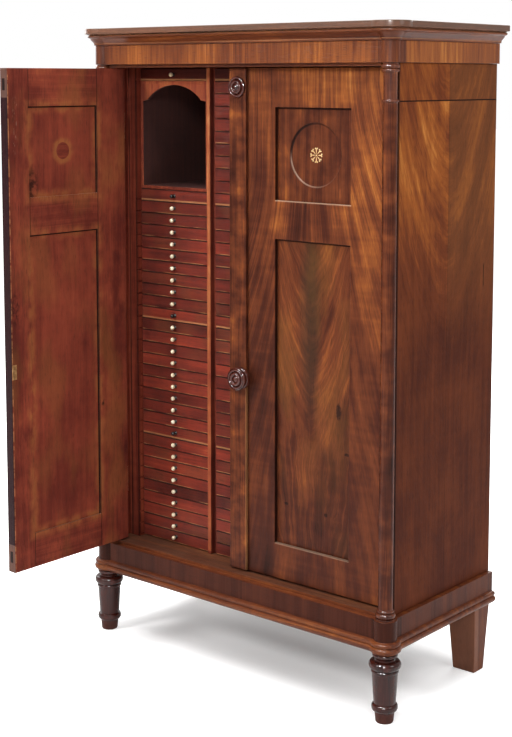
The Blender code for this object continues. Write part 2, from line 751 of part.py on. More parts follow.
cornice()
frieze()
plinth()
for side, label in SIDES:
    column(side, label)
    front_foot(side, label)
    rear_foot(side, label)
    carcass_side(side, label)
    hinges(side, label)
back_panel()
dividers()
drawers()
pigeonhole()
fixed_bank("bank_middle", MIDDLE_LEFT, -MIDDLE_LEFT)
fixed_bank("bank_right", -BANK_RIGHT, -BANK_LEFT)
door("left", LEFT_PIN, 1, LEFT_DOOR_REACH)
door("right", RIGHT_PIN, -1, RIGHT_DOOR_REACH)
meeting_strip(RIGHT_PIN)
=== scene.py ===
"""Looks of the mahogany collectors cabinet: veneers, turned work, drawers, inlay and metalwork."""
import json
import math

import bmesh
import bpy
from mathutils import Matrix, Vector


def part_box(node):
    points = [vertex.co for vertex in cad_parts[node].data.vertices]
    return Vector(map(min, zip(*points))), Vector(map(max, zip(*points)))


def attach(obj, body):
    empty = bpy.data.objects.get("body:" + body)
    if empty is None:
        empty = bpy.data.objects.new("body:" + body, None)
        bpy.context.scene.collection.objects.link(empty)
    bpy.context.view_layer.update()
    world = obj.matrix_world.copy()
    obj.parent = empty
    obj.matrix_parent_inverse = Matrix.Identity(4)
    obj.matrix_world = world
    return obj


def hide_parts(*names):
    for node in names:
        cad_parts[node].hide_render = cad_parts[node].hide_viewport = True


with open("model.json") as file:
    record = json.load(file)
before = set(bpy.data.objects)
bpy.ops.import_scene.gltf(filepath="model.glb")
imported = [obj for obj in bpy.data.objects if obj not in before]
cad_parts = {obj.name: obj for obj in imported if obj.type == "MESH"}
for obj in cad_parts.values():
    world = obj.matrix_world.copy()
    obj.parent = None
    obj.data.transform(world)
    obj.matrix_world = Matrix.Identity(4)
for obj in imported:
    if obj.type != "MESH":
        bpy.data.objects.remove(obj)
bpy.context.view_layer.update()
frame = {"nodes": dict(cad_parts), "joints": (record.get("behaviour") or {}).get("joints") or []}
nodes = frame["nodes"]
case_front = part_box("pigeonhole")[0].y

# Camera, set to the photograph's viewing angle
CAMERA_SPOT = (2.0335, -2.3735, 1.2896)
CAMERA_TURN = 40.171
CAMERA_TILT = 6.118
FOCAL_PIXELS = 1470.4
FRAME_HEIGHT = 737
SENSOR = 36.0
CAMERA_SHIFT = -0.18

# Turned work
LATHE_STEPS = 64
KNOB_STEPS = 24
COVE_STEPS = 96
PLUG_STEPS = 48
SCREW_STEPS = 16
ARC_STEPS = 10
HALF_TURN = [math.pi * i / ARC_STEPS for i in range(ARC_STEPS + 1)]
COLUMN_RADIUS = 0.015
SHAFT_BOTTOM_Z = 0.235
SHAFT_TOP_Z = 1.240
ROUNDEL_RADIUS = 0.0225
ROUNDEL_DROP = 0.040
PULL_FOOT_RADIUS = 0.010
PULL_BEDDING = 0.0003

# Rounding of worn arrises
BOARD_ARRIS = 0.0008
UPRIGHT_ARRIS = 0.0016
TRAY_ARRIS = 0.0004
THIN_ARRIS = 0.0003
SMOOTH_ANGLE = math.radians(50)
FLAT_ANGLE = math.radians(0.4)

# Doors, as they hang at rest
LEFT_DOOR_OPEN = math.radians(91)
DOOR_FACE = 0.004
DOOR_BACK = 0.026
HINGE_STILE = 0.086
PANEL_WIDTH = 0.196
PANEL_MIDDLE = HINGE_STILE + PANEL_WIDTH / 2
PANEL_HEIGHTS = ((1.036, 1.230), (0.301, 0.955))
PANEL_THICKNESS = 0.008
DOOR_MIDDLE_Z = 0.768
DOOR_HALF_HEIGHT = 0.543
FLAME_SPINE = 0.193
FLAME_KNOTS = (
    (-0.063, 0.608, (0.009, 0.024)),
    (-0.084, 0.521, (0.009, 0.005)),
    (0.075, 0.389, (0.008, 0.005)),
    (-0.031, 0.384, (0.006, 0.007)),
)
PANEL_SUNK = 0.010
ROUND_SINKING_RADIUS = 0.067
ROUND_SINKING_DEPTH = 0.003
COVE_WIDTH = 0.0045
COVE_OVERLAP = 0.0006
SINKING_Z = 1.133
ROSETTE_RADIUS = 0.0165
ROSETTE_PETALS = 8
PETAL_STEPS = 14
DISC_STEPS = 12
INLAY_PROUD = 0.0003
STRIKE_Z = 0.665
STRIKE_INSET = 0.0075
STRIKE_HALF = (0.006, 0.016)
STRIKE_SCREW = 0.011
EDGE_BLOCK = 0.062
BOLT_INSET = 0.034

# Drawers and pigeonhole
DRAWERS = 31
ROW_PITCH = 0.0272
ROWS = 40
DRAWER_SEAM = 0.001
DRAWER_FRONT = 0.009
DRAWER_WALL = 0.006
DRAWER_BOTTOM = 0.003
TONGUE_LIFT = 0.001
TONGUE_REACH = 0.0025
TONGUE_PLAY = 0.0005
KNOB_RADIUS = 0.00475
KNOB_REACH = 0.013
KNOB_ARC_STEPS = 12
EBONY_KNOBS = (2, 12, 22)
BANK_BACKING = 0.006
NOSING = 0.010
NOSING_BACK = 0.006
CASE_WALL = 0.007
SPANDREL = 0.008
SPANDREL_INSET = 0.0004
ARCH_SPRING = 0.045
ARCH_CROWN = 0.0085
ARCH_STEPS = 18

# Places at which a finish changes
STRING_LINE_Z = 1.245
ROWS_Z = 0.223
TOP_ROW_Z = ROWS_Z + (ROWS - 1) * ROW_PITCH
LINING_FRONT = 0.0165
LINING_JOINTS = (0.3425, 0.3640)
LINING_EDGE = 0.385
CORNER_JOINT = 0.3735
FLANK = 0.402
OPEN_BANK_END = -0.124

# Back boards
BACK_BOARDS = 6
BOARD_JOINT = 0.0022

# The floor under the cabinet
FLOOR_HALF_WIDTH = 0.40
FLOOR_HALF_DEPTH = 0.21
FLOOR_MIDDLE = 0.15


def srgb(*levels):
    """A colour written as it shows on a screen, in the renderer's linear values."""
    shares = [level / 255 for level in levels]
    return tuple(c / 12.92 if c <= 0.04045 else ((c + 0.055) / 1.055) ** 2.4 for c in shares)


# Tones of each wood, from its darkest streak to its lightest
POLISHED_TONES = (
    (0.00, srgb(38, 17, 11)),
    (0.30, srgb(72, 34, 22)),
    (0.55, srgb(105, 54, 31)),
    (0.78, srgb(146, 82, 39)),
    (1.00, srgb(190, 122, 60)),
)
RED_TONES = (
    (0.00, srgb(56, 24, 20)),
    (0.30, srgb(98, 40, 30)),
    (0.55, srgb(132, 60, 42)),
    (0.80, srgb(158, 86, 52)),
    (1.00, srgb(182, 118, 74)),
)
DRAWER_TONES = (
    (0.00, srgb(58, 22, 18)),
    (0.35, srgb(100, 38, 29)),
    (0.65, srgb(132, 50, 35)),
    (1.00, srgb(166, 86, 54)),
)
DARK_TONES = (
    (0.00, srgb(28, 7, 4)),
    (0.40, srgb(64, 23, 15)),
    (0.75, srgb(96, 43, 28)),
    (1.00, srgb(124, 68, 45)),
)
# Painted highlight along arrises and beads; on the drawers' lower edges, painted highlight and wear.
LIT_AND_WORN_EDGE = srgb(206, 150, 98)
# Painted highlight along the panels' lower edges and the round sinking's lower arris.
SILL_HIGHLIGHT = srgb(204, 170, 142)
JOINT_DARK = srgb(30, 15, 12)
DUST = srgb(150, 128, 108)
WHITE = (1, 1, 1)


def operator(operation):
    """A Wire's way to add one Math node."""
    return lambda wire, *others: wire.math(operation, *others)


class Wire:
    """A shader value that adds its nodes when it is used in a Python sum."""

    def __init__(self, finish, socket):
        self.finish = finish
        self.socket = socket

    def math(self, operation, *others):
        return self.finish.math(operation, self, *others)

    def __rsub__(self, other):
        return self.finish.math("SUBTRACT", other, self)

    __add__ = __radd__ = operator("ADD")
    __sub__ = operator("SUBTRACT")
    __mul__ = __rmul__ = operator("MULTIPLY")
    __truediv__ = operator("DIVIDE")
    __pow__ = operator("POWER")
    __abs__ = operator("ABSOLUTE")

    def rise(self, low, high):
        """Zero up to one value, one from another, and smooth between."""
        sockets = {"Value": self, "From Min": low, "From Max": high}
        return self.finish.node("ShaderNodeMapRange", {"interpolation_type": "SMOOTHSTEP"}, sockets)

    def fall(self, low, high):
        """One up to one value, and zero from another."""
        return 1 - self.rise(low, high)

    def band(self, middle, half, soft):
        """One within half of the middle, and zero beyond the soft edge."""
        return abs(self - middle).fall(half, half + soft)

    def ramp(self, stops):
        return self.finish.node("ShaderNodeValToRGB", {"stops": stops}, {"Fac": self})

    def chance(self):
        """A different value for each whole number."""
        return self.finish.node("ShaderNodeTexWhiteNoise", {"noise_dimensions": "1D"}, {"W": self})


class Wiring:
    """A node tree, and the ways to add to it."""

    def __init__(self, tree):
        self.tree = tree

    def feed(self, socket, value):
        if isinstance(value, Wire):
            self.tree.links.new(value.socket, socket)
        elif socket.type == "RGBA":
            socket.default_value = (*value, 1.0)
        else:
            socket.default_value = value

    def node(self, kind, settings=None, sockets=None, out=0):
        """Adds a node, with its settings first and then its sockets' values or links."""
        made = self.tree.nodes.new(kind)
        for key, value in (settings or {}).items():
            if key == "stops":
                self.set_stops(made.color_ramp, value)
            else:
                setattr(made, key, value)
        for key, value in (sockets or {}).items():
            self.feed(made.inputs[key], value)
        return Wire(self, made.outputs[out])

    @staticmethod
    def set_stops(ramp, stops):
        while len(ramp.elements) < len(stops):
            ramp.elements.new(0.5)
        for element, (position, colour) in zip(ramp.elements, stops):
            element.position = position
            element.color = (*colour, 1.0)

    def math(self, operation, *values):
        return self.node("ShaderNodeMath", {"operation": operation}, dict(enumerate(values)))


class Finish(Wiring):
    """One material and the nodes that make it."""

    def __init__(self, name):
        self.material = bpy.data.materials.new(name)
        self.material.use_nodes = True
        super().__init__(self.material.node_tree)
        self.shader = self.tree.nodes["Principled BSDF"]

    def place(self):
        """The piece's own x, y and z in metres."""
        spot = self.node("ShaderNodeTexCoord", out="Object")
        return [self.node("ShaderNodeSeparateXYZ", None, {0: spot}, out) for out in range(3)]

    def set(self, **sockets):
        """Sets the shader's sockets, named in lower case with underscores."""
        for key, value in sockets.items():
            words = key.replace("_", " ").title().replace("Ior", "IOR")
            self.feed(self.shader.inputs[words], value)

    def bump(self, height, distance, strength=1.0):
        sockets = {"Strength": strength, "Distance": distance, "Height": height}
        self.feed(self.shader.inputs["Normal"], self.node("ShaderNodeBump", None, sockets))


def higher(first, second):
    return first.math("MAXIMUM", second)


def noise(x, y, z, detail=2, roughness=0.5):
    """Clouds about a half, at a place that is scaled already."""
    spot = x.finish.node("ShaderNodeCombineXYZ", None, {0: x, 1: y, 2: z})
    sockets = {"Vector": spot, "Scale": 1.0, "Detail": detail, "Roughness": roughness}
    return x.finish.node("ShaderNodeTexNoise", None, sockets)


def mix(share, first, second):
    finish = next(value.finish for value in (share, first, second) if isinstance(value, Wire))
    settings = {"data_type": "RGBA", "clamp_factor": True}
    return finish.node("ShaderNodeMix", settings, {0: share, 6: first, 7: second}, out=2)


def straight_grain(along, across, deep, shift=0.0):
    """The tone of straight mahogany, and its pores, from a place given along and across the board."""
    sway = noise(across * 4, deep * 4, along * 1.6 + shift)
    lane = across + (sway - 0.5) * 0.035
    streak = noise(lane * 75, deep * 75, along * 1.9 + shift, 3, roughness=0.6)
    fibre = noise(lane * 430, deep * 430, along * 8 + shift)
    ripple = noise(across * 16, deep * 16, along * 55 + shift)
    pores = noise(lane * 1600, deep * 1600, along * 55 + shift, 0)
    tone = 0.5 + (streak - 0.5) * 1.1 + (fibre - 0.5) * 0.5 + (ripple - 0.5) * 0.25
    return tone, pores.rise(0.60, 0.74)


def polished(colour, pores, height, roughness, specular=0.06, coat=0.0, haze=0.2):
    """Finishes a wood's colour with its dark pores, its sheen and its open grain."""
    finish = colour.finish
    finish.set(base_color=mix(pores * 0.4, colour, JOINT_DARK))
    finish.set(roughness=roughness + pores * 0.12 + (height - 0.5) * 0.1)
    finish.set(specular_ior_level=specular, coat_weight=coat, coat_roughness=haze)
    finish.bump(height * 0.35 - pores, 0.0003, 0.5)
    return finish.material


class DoorSpace:
    """A door's own directions at rest: out from its pin, and inward from its face."""

    def __init__(self, label, turn, hand):
        self.pin = next(j["pos_m"] for j in frame["joints"] if j["name"] == f"door_{label}_hinge")
        self.out = (hand * math.cos(turn), -math.sin(turn))
        self.inward = (hand * math.sin(turn), math.cos(turn))
        corners = [vert.co for vert in nodes[f"door_{label}_frame"].data.vertices]
        self.reach = max(self.along(self.out, co.x, co.y) for co in corners)

    def along(self, way, x, y):
        return (x - self.pin[0]) * way[0] + (y - self.pin[1]) * way[1]

    def matrix(self, out, inward, z):
        """Places a flat piece whose x runs along the door and whose z points inward."""
        across = Vector((*self.out, 0))
        deep = Vector((*self.inward, 0))
        spot = Vector((self.pin[0], self.pin[1], z)) + across * out + deep * inward
        turn = Matrix((across, Vector((0, 0, 1)), deep)).transposed().to_4x4()
        return Matrix.Translation(spot) @ turn

    def sinking(self, inward):
        """Places trim at the middle of the round sinking, at a depth in the door."""
        return self.matrix(PANEL_MIDDLE, inward, SINKING_Z)

    def wires(self, finish):
        x, y, z = finish.place()
        return self.along(self.out, x, y), self.along(self.inward, x, y), z


def plume(aside, z, curve, shift=0.0):
    """Figured veneer: streaks that sweep down to a spine from both sides, like nested bows."""
    wander = noise(aside * 8, z * 5, shift, 3)
    flow = noise(aside * 22, z * 9, shift + 4, 2)
    off = aside + (wander - 0.5) * 0.035
    bow = z - abs(off) ** 1.6 * curve + (flow - 0.5) * 0.03
    streak = noise(bow * 23, off * 9, shift, 4, roughness=0.62)
    feather = noise(bow * 95, off * 30, shift + 2)
    fibre = noise(bow * 420, off * 70, shift + 3, 1)
    return (streak - 0.5) * 1.1 + (feather - 0.5) * 0.5 + (fibre - 0.5) * 0.3


def patch(across, z, spot, size):
    """A soft oval: one at its middle, and zero beyond its size."""
    far = ((across - spot[0]) / size[0]) ** 2 + ((z - spot[1]) / size[1]) ** 2
    return far.fall(0.0, 1.0)


def panel_reach(out, z):
    """How far a place lies outside the nearer panel opening, and below zero inside it."""
    across = abs(out - PANEL_MIDDLE) - PANEL_WIDTH / 2
    reaches = []
    for low, high in PANEL_HEIGHTS:
        upright = abs(z - (low + high) / 2) - (high - low) / 2
        reaches.append(higher(across, upright))
    return reaches[0].math("MINIMUM", reaches[1])


def centre_distance(out, z):
    return ((out - PANEL_MIDDLE) ** 2 + (z - SINKING_Z) ** 2) ** 0.5


def inner_joinery(out, z, panel):
    """The inside of a door: upright stiles, level rails between them, rubbed rims and dark joints, with
    painted shade along the panels' top and hinge-side edges and on the hinge stile, and painted light
    on the stile's middle.
    """
    tone, _ = straight_grain(z, out, 0.0)
    faded = noise(out * 8, z * 4, 2.0, 4)
    cloud = noise(out * 21, z * 13, 6.0, 4, roughness=0.6)
    stain = noise(out * 15, z * 8, 7.0, 4).rise(0.57, 0.72)
    reach = panel_reach(out, z)
    rubbing = noise(out * 30, z * 22, 5.0, 3)
    if panel:
        rim = reach.rise(-0.022, -0.003)
        # Painted shade: dark lines along each panel's hinge-side and top edges.
        right = out.band(PANEL_MIDDLE - PANEL_WIDTH / 2 + 0.0015, 0.0012, 0.0012)
        top_shadows = [z.band(high - 0.0015, 0.0010, 0.0012) for _, high in PANEL_HEIGHTS]
        joints = higher(right, higher(*top_shadows))
    else:
        rail, _ = straight_grain(out, z, 0.0, shift=4.0)
        rails = out.band(PANEL_MIDDLE, PANEL_WIDTH / 2, 0.0004)
        tone = tone + (rail - tone) * rails
        rim = reach.fall(0.001, 0.022)
        seams = [out.band(PANEL_MIDDLE + s * PANEL_WIDTH / 2, 0.0005, 0.0008) for s in (-1, 1)]
        joints = higher(*seams) * 0.75
        # Rails a little darker. Painted shade towards the hinge edge and at the top of the hinge stile,
        # and painted light on its middle.
        tone = tone - rails * 0.05 - out.fall(0.015, 0.06) * 0.07
        hinge_stile_shading = out.fall(0.06, 0.09)
        tone = tone + hinge_stile_shading * (z.band(0.8, 0.2, 0.16) * 0.08 - z.rise(1.08, 1.22) * 0.14)
    rim = rim * rubbing.rise(0.32, 0.66)
    calm = 0.7 if panel else 1.05
    tone = tone * 0.4 * calm + 0.22 + (1 - calm) * 0.2 - stain * 0.2 * calm + rim * 0.26
    tone = tone + ((faded - 0.5) * 0.9 + (cloud - 0.5) * 0.5) * calm
    colour = tone.ramp(RED_TONES)
    olive = noise(out * 11, z * 5, 9.0, 4).rise(0.47, 0.66)
    colour = mix(higher(olive * 0.43 * calm, rim * 0.6), colour, srgb(130, 80, 43))
    return mix(joints, colour, JOINT_DARK), tone


def outer_figure(out, z, panel):
    """The tone of a door's outer veneer: flame in the lower panel, and fanned grain on the frame."""
    aside = out - FLAME_SPINE
    if panel == "lower":
        spine = abs(aside).fall(0.002, 0.022) * z.rise(0.44, 0.58)
        sides = abs(aside).band(0.048, 0.018, 0.05) * z.rise(0.40, 0.62)
        eye = patch(out, z, (FLAME_SPINE - 0.006, 0.87), (0.045, 0.11))
        heart = patch(out, z, (FLAME_SPINE, 0.70), (0.035, 0.20))
        cloud = noise(out * 15, z * 7, 8.0, 4)
        flame = 0.41 + plume(aside, z, 9.0) * 0.8 + (cloud - 0.5) * 0.6
        flame = flame + sides * 0.12 - spine * 0.13 - eye * 0.16 - heart * 0.10
        curl = noise(out * 24, z * 8, 5.0, 3)
        lean = aside / (0.55 + higher(z - 0.20, 0.0) * 1.3) + (curl - 0.5) * 0.05
        lines, _ = straight_grain(z, lean, 0.0, shift=5.0)
        golden = patch(out, z, (FLAME_SPINE + 0.018, 0.45), (0.05, 0.16))
        plain = lines * 0.8 - 0.10 + (cloud - 0.5) * 0.9 + golden * 0.16
        return plain + (flame - plain) * (z + (cloud - 0.5) * 0.3).rise(0.46, 0.66)
    if panel == "upper":
        grain, _ = straight_grain(z, out, 0.0, shift=2.0)
        mottle = noise(out * 20, z * 13, 3.0, 4)
        return grain * 0.7 + 0.08 + (mottle - 0.5) * 0.9
    start = 1.29 - out.rise(0.06, 0.29) * 0.19
    fan = aside / (1 + higher(start - z, 0.0) ** 1.6 * 5.5)
    grain, _ = straight_grain(z * 0.8, fan, 0.0, shift=aside.math("SIGN") * 2)
    mottle = noise(out * 12, z * 6, 5.0, 4)
    fiddle = noise(out * 9, z * 75, 1.0)
    golden = patch(out, z, (0.042, 1.06), (0.05, 0.24))
    head = z.rise(1.22, 1.25)
    arch = patch(out, z, (FLAME_SPINE, 0.995), (0.085, 0.06))
    foot = z.fall(0.55, 0.85) * out.rise(0.28, 0.31)
    glow = patch(out, z, (PANEL_MIDDLE + 0.085, 0.985), (0.034, 0.036))
    bright = z.rise(0.45, 1.20) * 0.19 + (0.15 - out) * 0.30
    tone = grain * 0.9 - 0.11 + (mottle - 0.5) * 0.9 + (fiddle - 0.5) * 0.16
    return tone + bright + golden * 0.19 + glow * 0.15 + head * 0.13 - arch * 0.18 - foot * 0.06


def flame_shades(veneer, out, z):
    """The flame's olive lights and smoky heart, and a few small knots below it."""
    olive = noise(out * 11, z * 5, 11.0, 4).rise(0.42, 0.62)
    veneer = mix(olive * (0.08 + z.rise(0.42, 0.66) * 0.22), veneer, srgb(134, 86, 40))
    smoke = patch(out, z, (FLAME_SPINE + 0.004, 0.80), (0.036, 0.27))
    veneer = mix(smoke * 0.4, veneer, srgb(70, 53, 35))
    ragged = (noise(out * 260, z * 190, 2.0, 3) - 0.5) * 3.0
    knots = [patch(out, z, (PANEL_MIDDLE + aside, at), size) for aside, at, size in FLAME_KNOTS]
    knot = higher(higher(*knots[:2]), higher(*knots[2:]))
    return mix((knot + ragged * knot).rise(0.20, 0.85) * 0.85, veneer, JOINT_DARK)


def circle_shade_and_highlight(out, z):
    """The round sinking's edge: painted shade along its upper free side, and a painted highlight along
    its lower arris.
    """
    ring = centre_distance(out, z)
    edge = ring.band(ROUND_SINKING_RADIUS - COVE_WIDTH / 2, 0.0016, 0.0010)
    arris = ring.band(ROUND_SINKING_RADIUS - 0.0014, 0.0006, 0.0012)
    free = (out - PANEL_MIDDLE).rise(-0.045, 0.045)
    upper = (z - SINKING_Z).rise(-0.022, 0.012)
    return edge * upper * (0.25 + free * 0.65), arris * (1 - upper) * (0.06 + free * 0.44)


def old_marks(out, z, reach):
    """Chalk on the inside of the free stile, and a few dark smudges."""
    scribble = noise(out * 420, z * 70, 2.0, 2).rise(0.60, 0.70)
    chalk = scribble * out.band(reach - 0.020, 0.005, 0.004) * z.band(1.19, 0.05, 0.02)
    smudges = higher(
        patch(out, z, (reach - 0.012, 0.80), (0.016, 0.045)),
        patch(out, z, (0.075, 0.557), (0.010, 0.010)),
    )
    grime_and_shade = noise(out * 130, z * 80, 3.0, 4).rise(0.40, 0.62)
    return chalk * 0.45, smudges * grime_and_shade * 0.8


def free_edge(colour, inner_tone, place, reach):
    """The door's dark free edge, with a bare block and a bolt's slot near each end."""
    out, inward, z = place
    free = out.rise(reach - 0.0012, reach - 0.0006)
    block = z.band(DOOR_MIDDLE_Z, DOOR_HALF_HEIGHT - EDGE_BLOCK, 0.001)
    scratch = noise(out * 40, z * 90, inward * 200, 3)
    edge = mix(scratch, srgb(24, 5, 8), srgb(48, 20, 22))
    bare = mix(0.4, (inner_tone * 0.6 + 0.12).ramp(POLISHED_TONES), srgb(112, 92, 84))
    edge = mix(block, bare, edge)
    ends = [DOOR_MIDDLE_Z + s * (DOOR_HALF_HEIGHT - BOLT_INSET) for s in (-1, 1)]
    bolts = [z.band(end, 0.012, 0.001) for end in ends]
    slot = higher(*bolts) * inward.band((DOOR_FACE + DOOR_BACK) / 2, 0.004, 0.001)
    # Painted highlight along the arris beside the free edge, broken by scratches.
    arris = out.band(reach - 0.0022, 0.0008, 0.0008) * scratch.rise(0.35, 0.6)
    colour = mix(arris * 0.45, colour, LIT_AND_WORN_EDGE)
    return mix(free, colour, mix(slot, edge, JOINT_DARK))


def door_finish(name, space, panel=None):
    """A door's outer veneer and its plainer red inside, told apart by the depth in the door."""
    out, inward, z = space.wires(Finish(name))
    tone = outer_figure(out, z, panel)
    veneer = tone.ramp(POLISHED_TONES)
    inside, inner_tone = inner_joinery(out, z, panel)
    if panel:
        back = DOOR_FACE + PANEL_SUNK + PANEL_THICKNESS - 0.001
        if panel == "upper":
            ring = centre_distance(out, z)
            ragged = noise(out * 70, z * 70, 1.0, 3)
            halo = (ring + (ragged - 0.5) * 0.014).fall(0.021, 0.034) * 0.6
            soot = patch(out, z, (PANEL_MIDDLE + 0.088, 1.062), (0.022, 0.05))
            soot = soot * ragged.rise(0.3, 0.6) * 0.85
            inside = mix(soot, mix(halo, inside, srgb(150, 92, 50)), JOINT_DARK)
            # Painted shade along the sinking's upper edge, and a painted highlight along its lower
            # arris.
            circle_shade, arris_highlight = circle_shade_and_highlight(out, z)
            veneer = mix(arris_highlight * 0.7, mix(circle_shade, veneer, JOINT_DARK), SILL_HIGHLIGHT)
        else:
            veneer = flame_shades(veneer, out, z)
        # Painted shadow under the top edge of each panel opening.
        head_shadows = [z.band(high - 0.0015, 0.0016, 0.0020) for _, high in PANEL_HEIGHTS]
        veneer = mix(higher(*head_shadows) * 0.75, veneer, JOINT_DARK)
    else:
        back = DOOR_BACK - 0.0008
        # Painted shade on the recess walls and edges, deeper than the face.
        wall_shade = inward.rise(DOOR_FACE + 0.0008, DOOR_FACE + 0.0022)
        veneer = mix(wall_shade * 0.85, veneer, JOINT_DARK)
        # Painted highlight along the lower edge of each panel opening.
        sill_highlights = [z.band(low - 0.0004, 0.0008, 0.0008) for low, _ in PANEL_HEIGHTS]
        sill = higher(sill_highlights[0] * 0.5, sill_highlights[1] * 0.25)
        sill = sill * out.band(PANEL_MIDDLE, PANEL_WIDTH / 2, 0.001)
        veneer = mix(sill, veneer, SILL_HIGHLIGHT)
        chalk, smudges = old_marks(out, z, space.reach)
        inside = mix(chalk, mix(smudges, inside, JOINT_DARK), DUST)
    inner = inward.rise(back - 0.0006, back)
    colour = mix(inner, veneer, inside)
    if not panel:
        colour = free_edge(colour, inner_tone, (out, inward, z), space.reach)
    _, pores = straight_grain(z, out, inward)
    return polished(colour, pores, tone + (inner_tone - tone) * inner, 0.33 + inner * 0.2)


def side_finish():
    """Book-matched veneer outside, with a dark string line and a painted shadow along its front edge,
    and red lining inside.
    """
    x, y, z = Finish("side_veneer").place()
    low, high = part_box("side_right")
    aside = y - (low.y + high.y) / 2
    above = z.rise(STRING_LINE_Z - 0.0004, STRING_LINE_Z + 0.0004)
    level = z + above * 0.11
    figure = plume(aside, level, 5.0, shift=1.5)
    bow = level - abs(aside) ** 1.6 * 5.0
    cloud = noise(bow * 9, aside * 7, 6.0, 3)
    mottle = noise(y * 11, z * 6, 4.0, 4)
    fibre, pores = straight_grain(z, y, x)
    front_leaf = aside.fall(-0.0004, 0.0004)
    upper = z.rise(0.68, 1.06)
    tone = 0.36 + figure * (0.10 + upper * 0.45) + (mottle - 0.5) * 0.45 + (fibre - 0.5) * 0.25
    tone = tone + upper * (0.17 + front_leaf * 0.15 + (cloud - 0.5) * 0.8)
    seam = aside.band(0.0, 0.0003, 0.0008) * 0.5
    string = z.band(STRING_LINE_Z, 0.0010, 0.0007)
    # Painted shadow along the front edge, in the gap beside the column.
    quirk_shadow = y.fall(low.y + 0.002, low.y + 0.006) * 0.85
    crack = (y + (cloud - 0.5) * 0.004).band(high.y - 0.042, 0.0009, 0.0008)
    crack = crack * z.band(0.873, 0.020, 0.008)
    lines = higher(higher(seam, string), higher(crack, quirk_shadow))
    veneer = tone.ramp(POLISHED_TONES)
    veneer = mix(upper * (1 - front_leaf) * 0.3, veneer, srgb(122, 82, 48))
    outer = mix(lines, veneer, JOINT_DARK)
    lining = (fibre * 0.8 - 0.02).ramp(RED_TONES)
    meeting = [abs(x).band(place, 0.0014, 0.0012) for place in LINING_JOINTS]
    facing = y.fall(LINING_FRONT + 0.0015, LINING_FRONT + 0.0035)
    lining = mix(higher(*meeting) * facing * 0.75, lining, JOINT_DARK)
    inside = abs(x).fall(LINING_EDGE - 0.0005, LINING_EDGE + 0.0005)
    colour = mix(inside, outer, lining)
    return polished(colour, pores, tone, 0.42, 0.015)


def banded_finish(name, lift, contrast, low, high):
    """Cross-banding, its grain upright round the front and sides, between two heights."""
    x, y, z = Finish(name).place()
    around = x - y
    sheet = noise(around * 14, 3.0, z * 2, 1)
    stripe = noise(around * 85, 1.0, z * 3, 4, roughness=0.65)
    fibre = noise(around * 420, 2.0, z * 9)
    dark = noise(around * 46, 8.0, z * 1.5, 2).rise(0.60, 0.69)
    band_tone = (stripe - 0.5) * 1.2 + (fibre - 0.5) * 0.5 + (sheet - 0.5) * 0.7 - dark * 0.28
    corner = abs(x).rise(CORNER_JOINT - 0.0015, CORNER_JOINT + 0.0025) * y.fall(0.002, 0.006)
    # Painted light: the side faces a little lighter than the front.
    flank_light = abs(x).rise(FLANK, FLANK + 0.0035) * y.rise(0.0, 0.006)
    band_tone = 0.5 + band_tone * contrast + lift - corner * 0.12 + flank_light * 0.10
    run_tone, pores = straight_grain(around, z, y)
    run_tone = run_tone * 0.8 + 0.12
    upright = z.rise(low, low + 0.0006) * z.fall(high, high + 0.0006)
    tone = run_tone + (band_tone - run_tone) * upright
    joint = abs(x).band(CORNER_JOINT, 0.0004, 0.0006) * y.fall(0.0, 0.002) * upright * 0.7
    colour = mix(joint, tone.ramp(POLISHED_TONES), JOINT_DARK)
    return colour, tone, pores, (x, y, z)


def frieze_finish():
    low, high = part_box("frieze")
    colour, tone, pores, _ = banded_finish("frieze_banding", 0.14, 0.75, low.z + 0.007, high.z)
    return polished(colour, pores, tone, 0.34, coat=0.06)


def plinth_finish():
    low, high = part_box("plinth")
    levels = (low.z + 0.025, high.z - 0.0085)
    colour, tone, pores, (x, y, z) = banded_finish("plinth_banding", -0.25, 0.4, *levels)
    ledge = z.rise(high.z - 0.0016, high.z - 0.0004)
    dust = noise(x * 30, y * 30, 1.0, 3) * ledge
    moulded = z.fall(low.z + 0.0245, low.z + 0.0255)
    shade = ledge * 0.46 + moulded * 0.14
    colour = mix(dust * 0.12, mix(shade, colour, JOINT_DARK), DUST)
    return polished(colour, pores, tone, 0.30 + ledge * 0.2, 0.04, coat=0.02 + moulded * 0.12)


def cornice_finish():
    x, y, z = Finish("cornice_mahogany").place()
    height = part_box("cornice")[1].z
    top = z.rise(height - 0.0012, height - 0.0002)
    tone, pores = straight_grain(x - y * (1 - top), z + y * top, 0.0)
    fascia = z.rise(height - 0.0155, height - 0.0145)
    dust = noise(x * 26, y * 26, z * 26, 4)
    colour = (tone * 0.75 + 0.12 - fascia * 0.12).ramp(POLISHED_TONES)
    colour = mix(fascia * 0.2 + top * dust * 0.3, colour, DUST)
    # Painted highlight along the two beads, broken by the dust noise.
    bead_highlights = [z.band(height - drop, 0.0005, 0.0005) for drop in (0.0155, 0.0335)]
    colour = mix(higher(*bead_highlights) * dust * 0.4, colour, LIT_AND_WORN_EDGE)
    return polished(colour, pores, tone, 0.30 + top * 0.3, 0.06, coat=0.2 - top * 0.19)


def column_finish():
    """The columns: dark red shafts, with lighter and glossier heads and bases."""
    x, y, z = Finish("column_mahogany").place()
    tone, pores = straight_grain(z, x * 0.9, y * 0.9)
    mottle = noise(x * 20, y * 20, z * 26, 3)
    tone = tone * 0.9 - 0.14 + (mottle - 0.5) * 0.8 + z.rise(0.5, 1.0) * 0.05
    head = z.rise(SHAFT_TOP_Z - 0.002, SHAFT_TOP_Z + 0.002)
    ends = higher(head, z.fall(SHAFT_BOTTOM_Z - 0.002, SHAFT_BOTTOM_Z + 0.002))
    colour = (tone + ends * 0.06).ramp(POLISHED_TONES)
    return polished(colour, pores, tone, 0.24, 0.04, coat=0.08 + ends * 0.22)


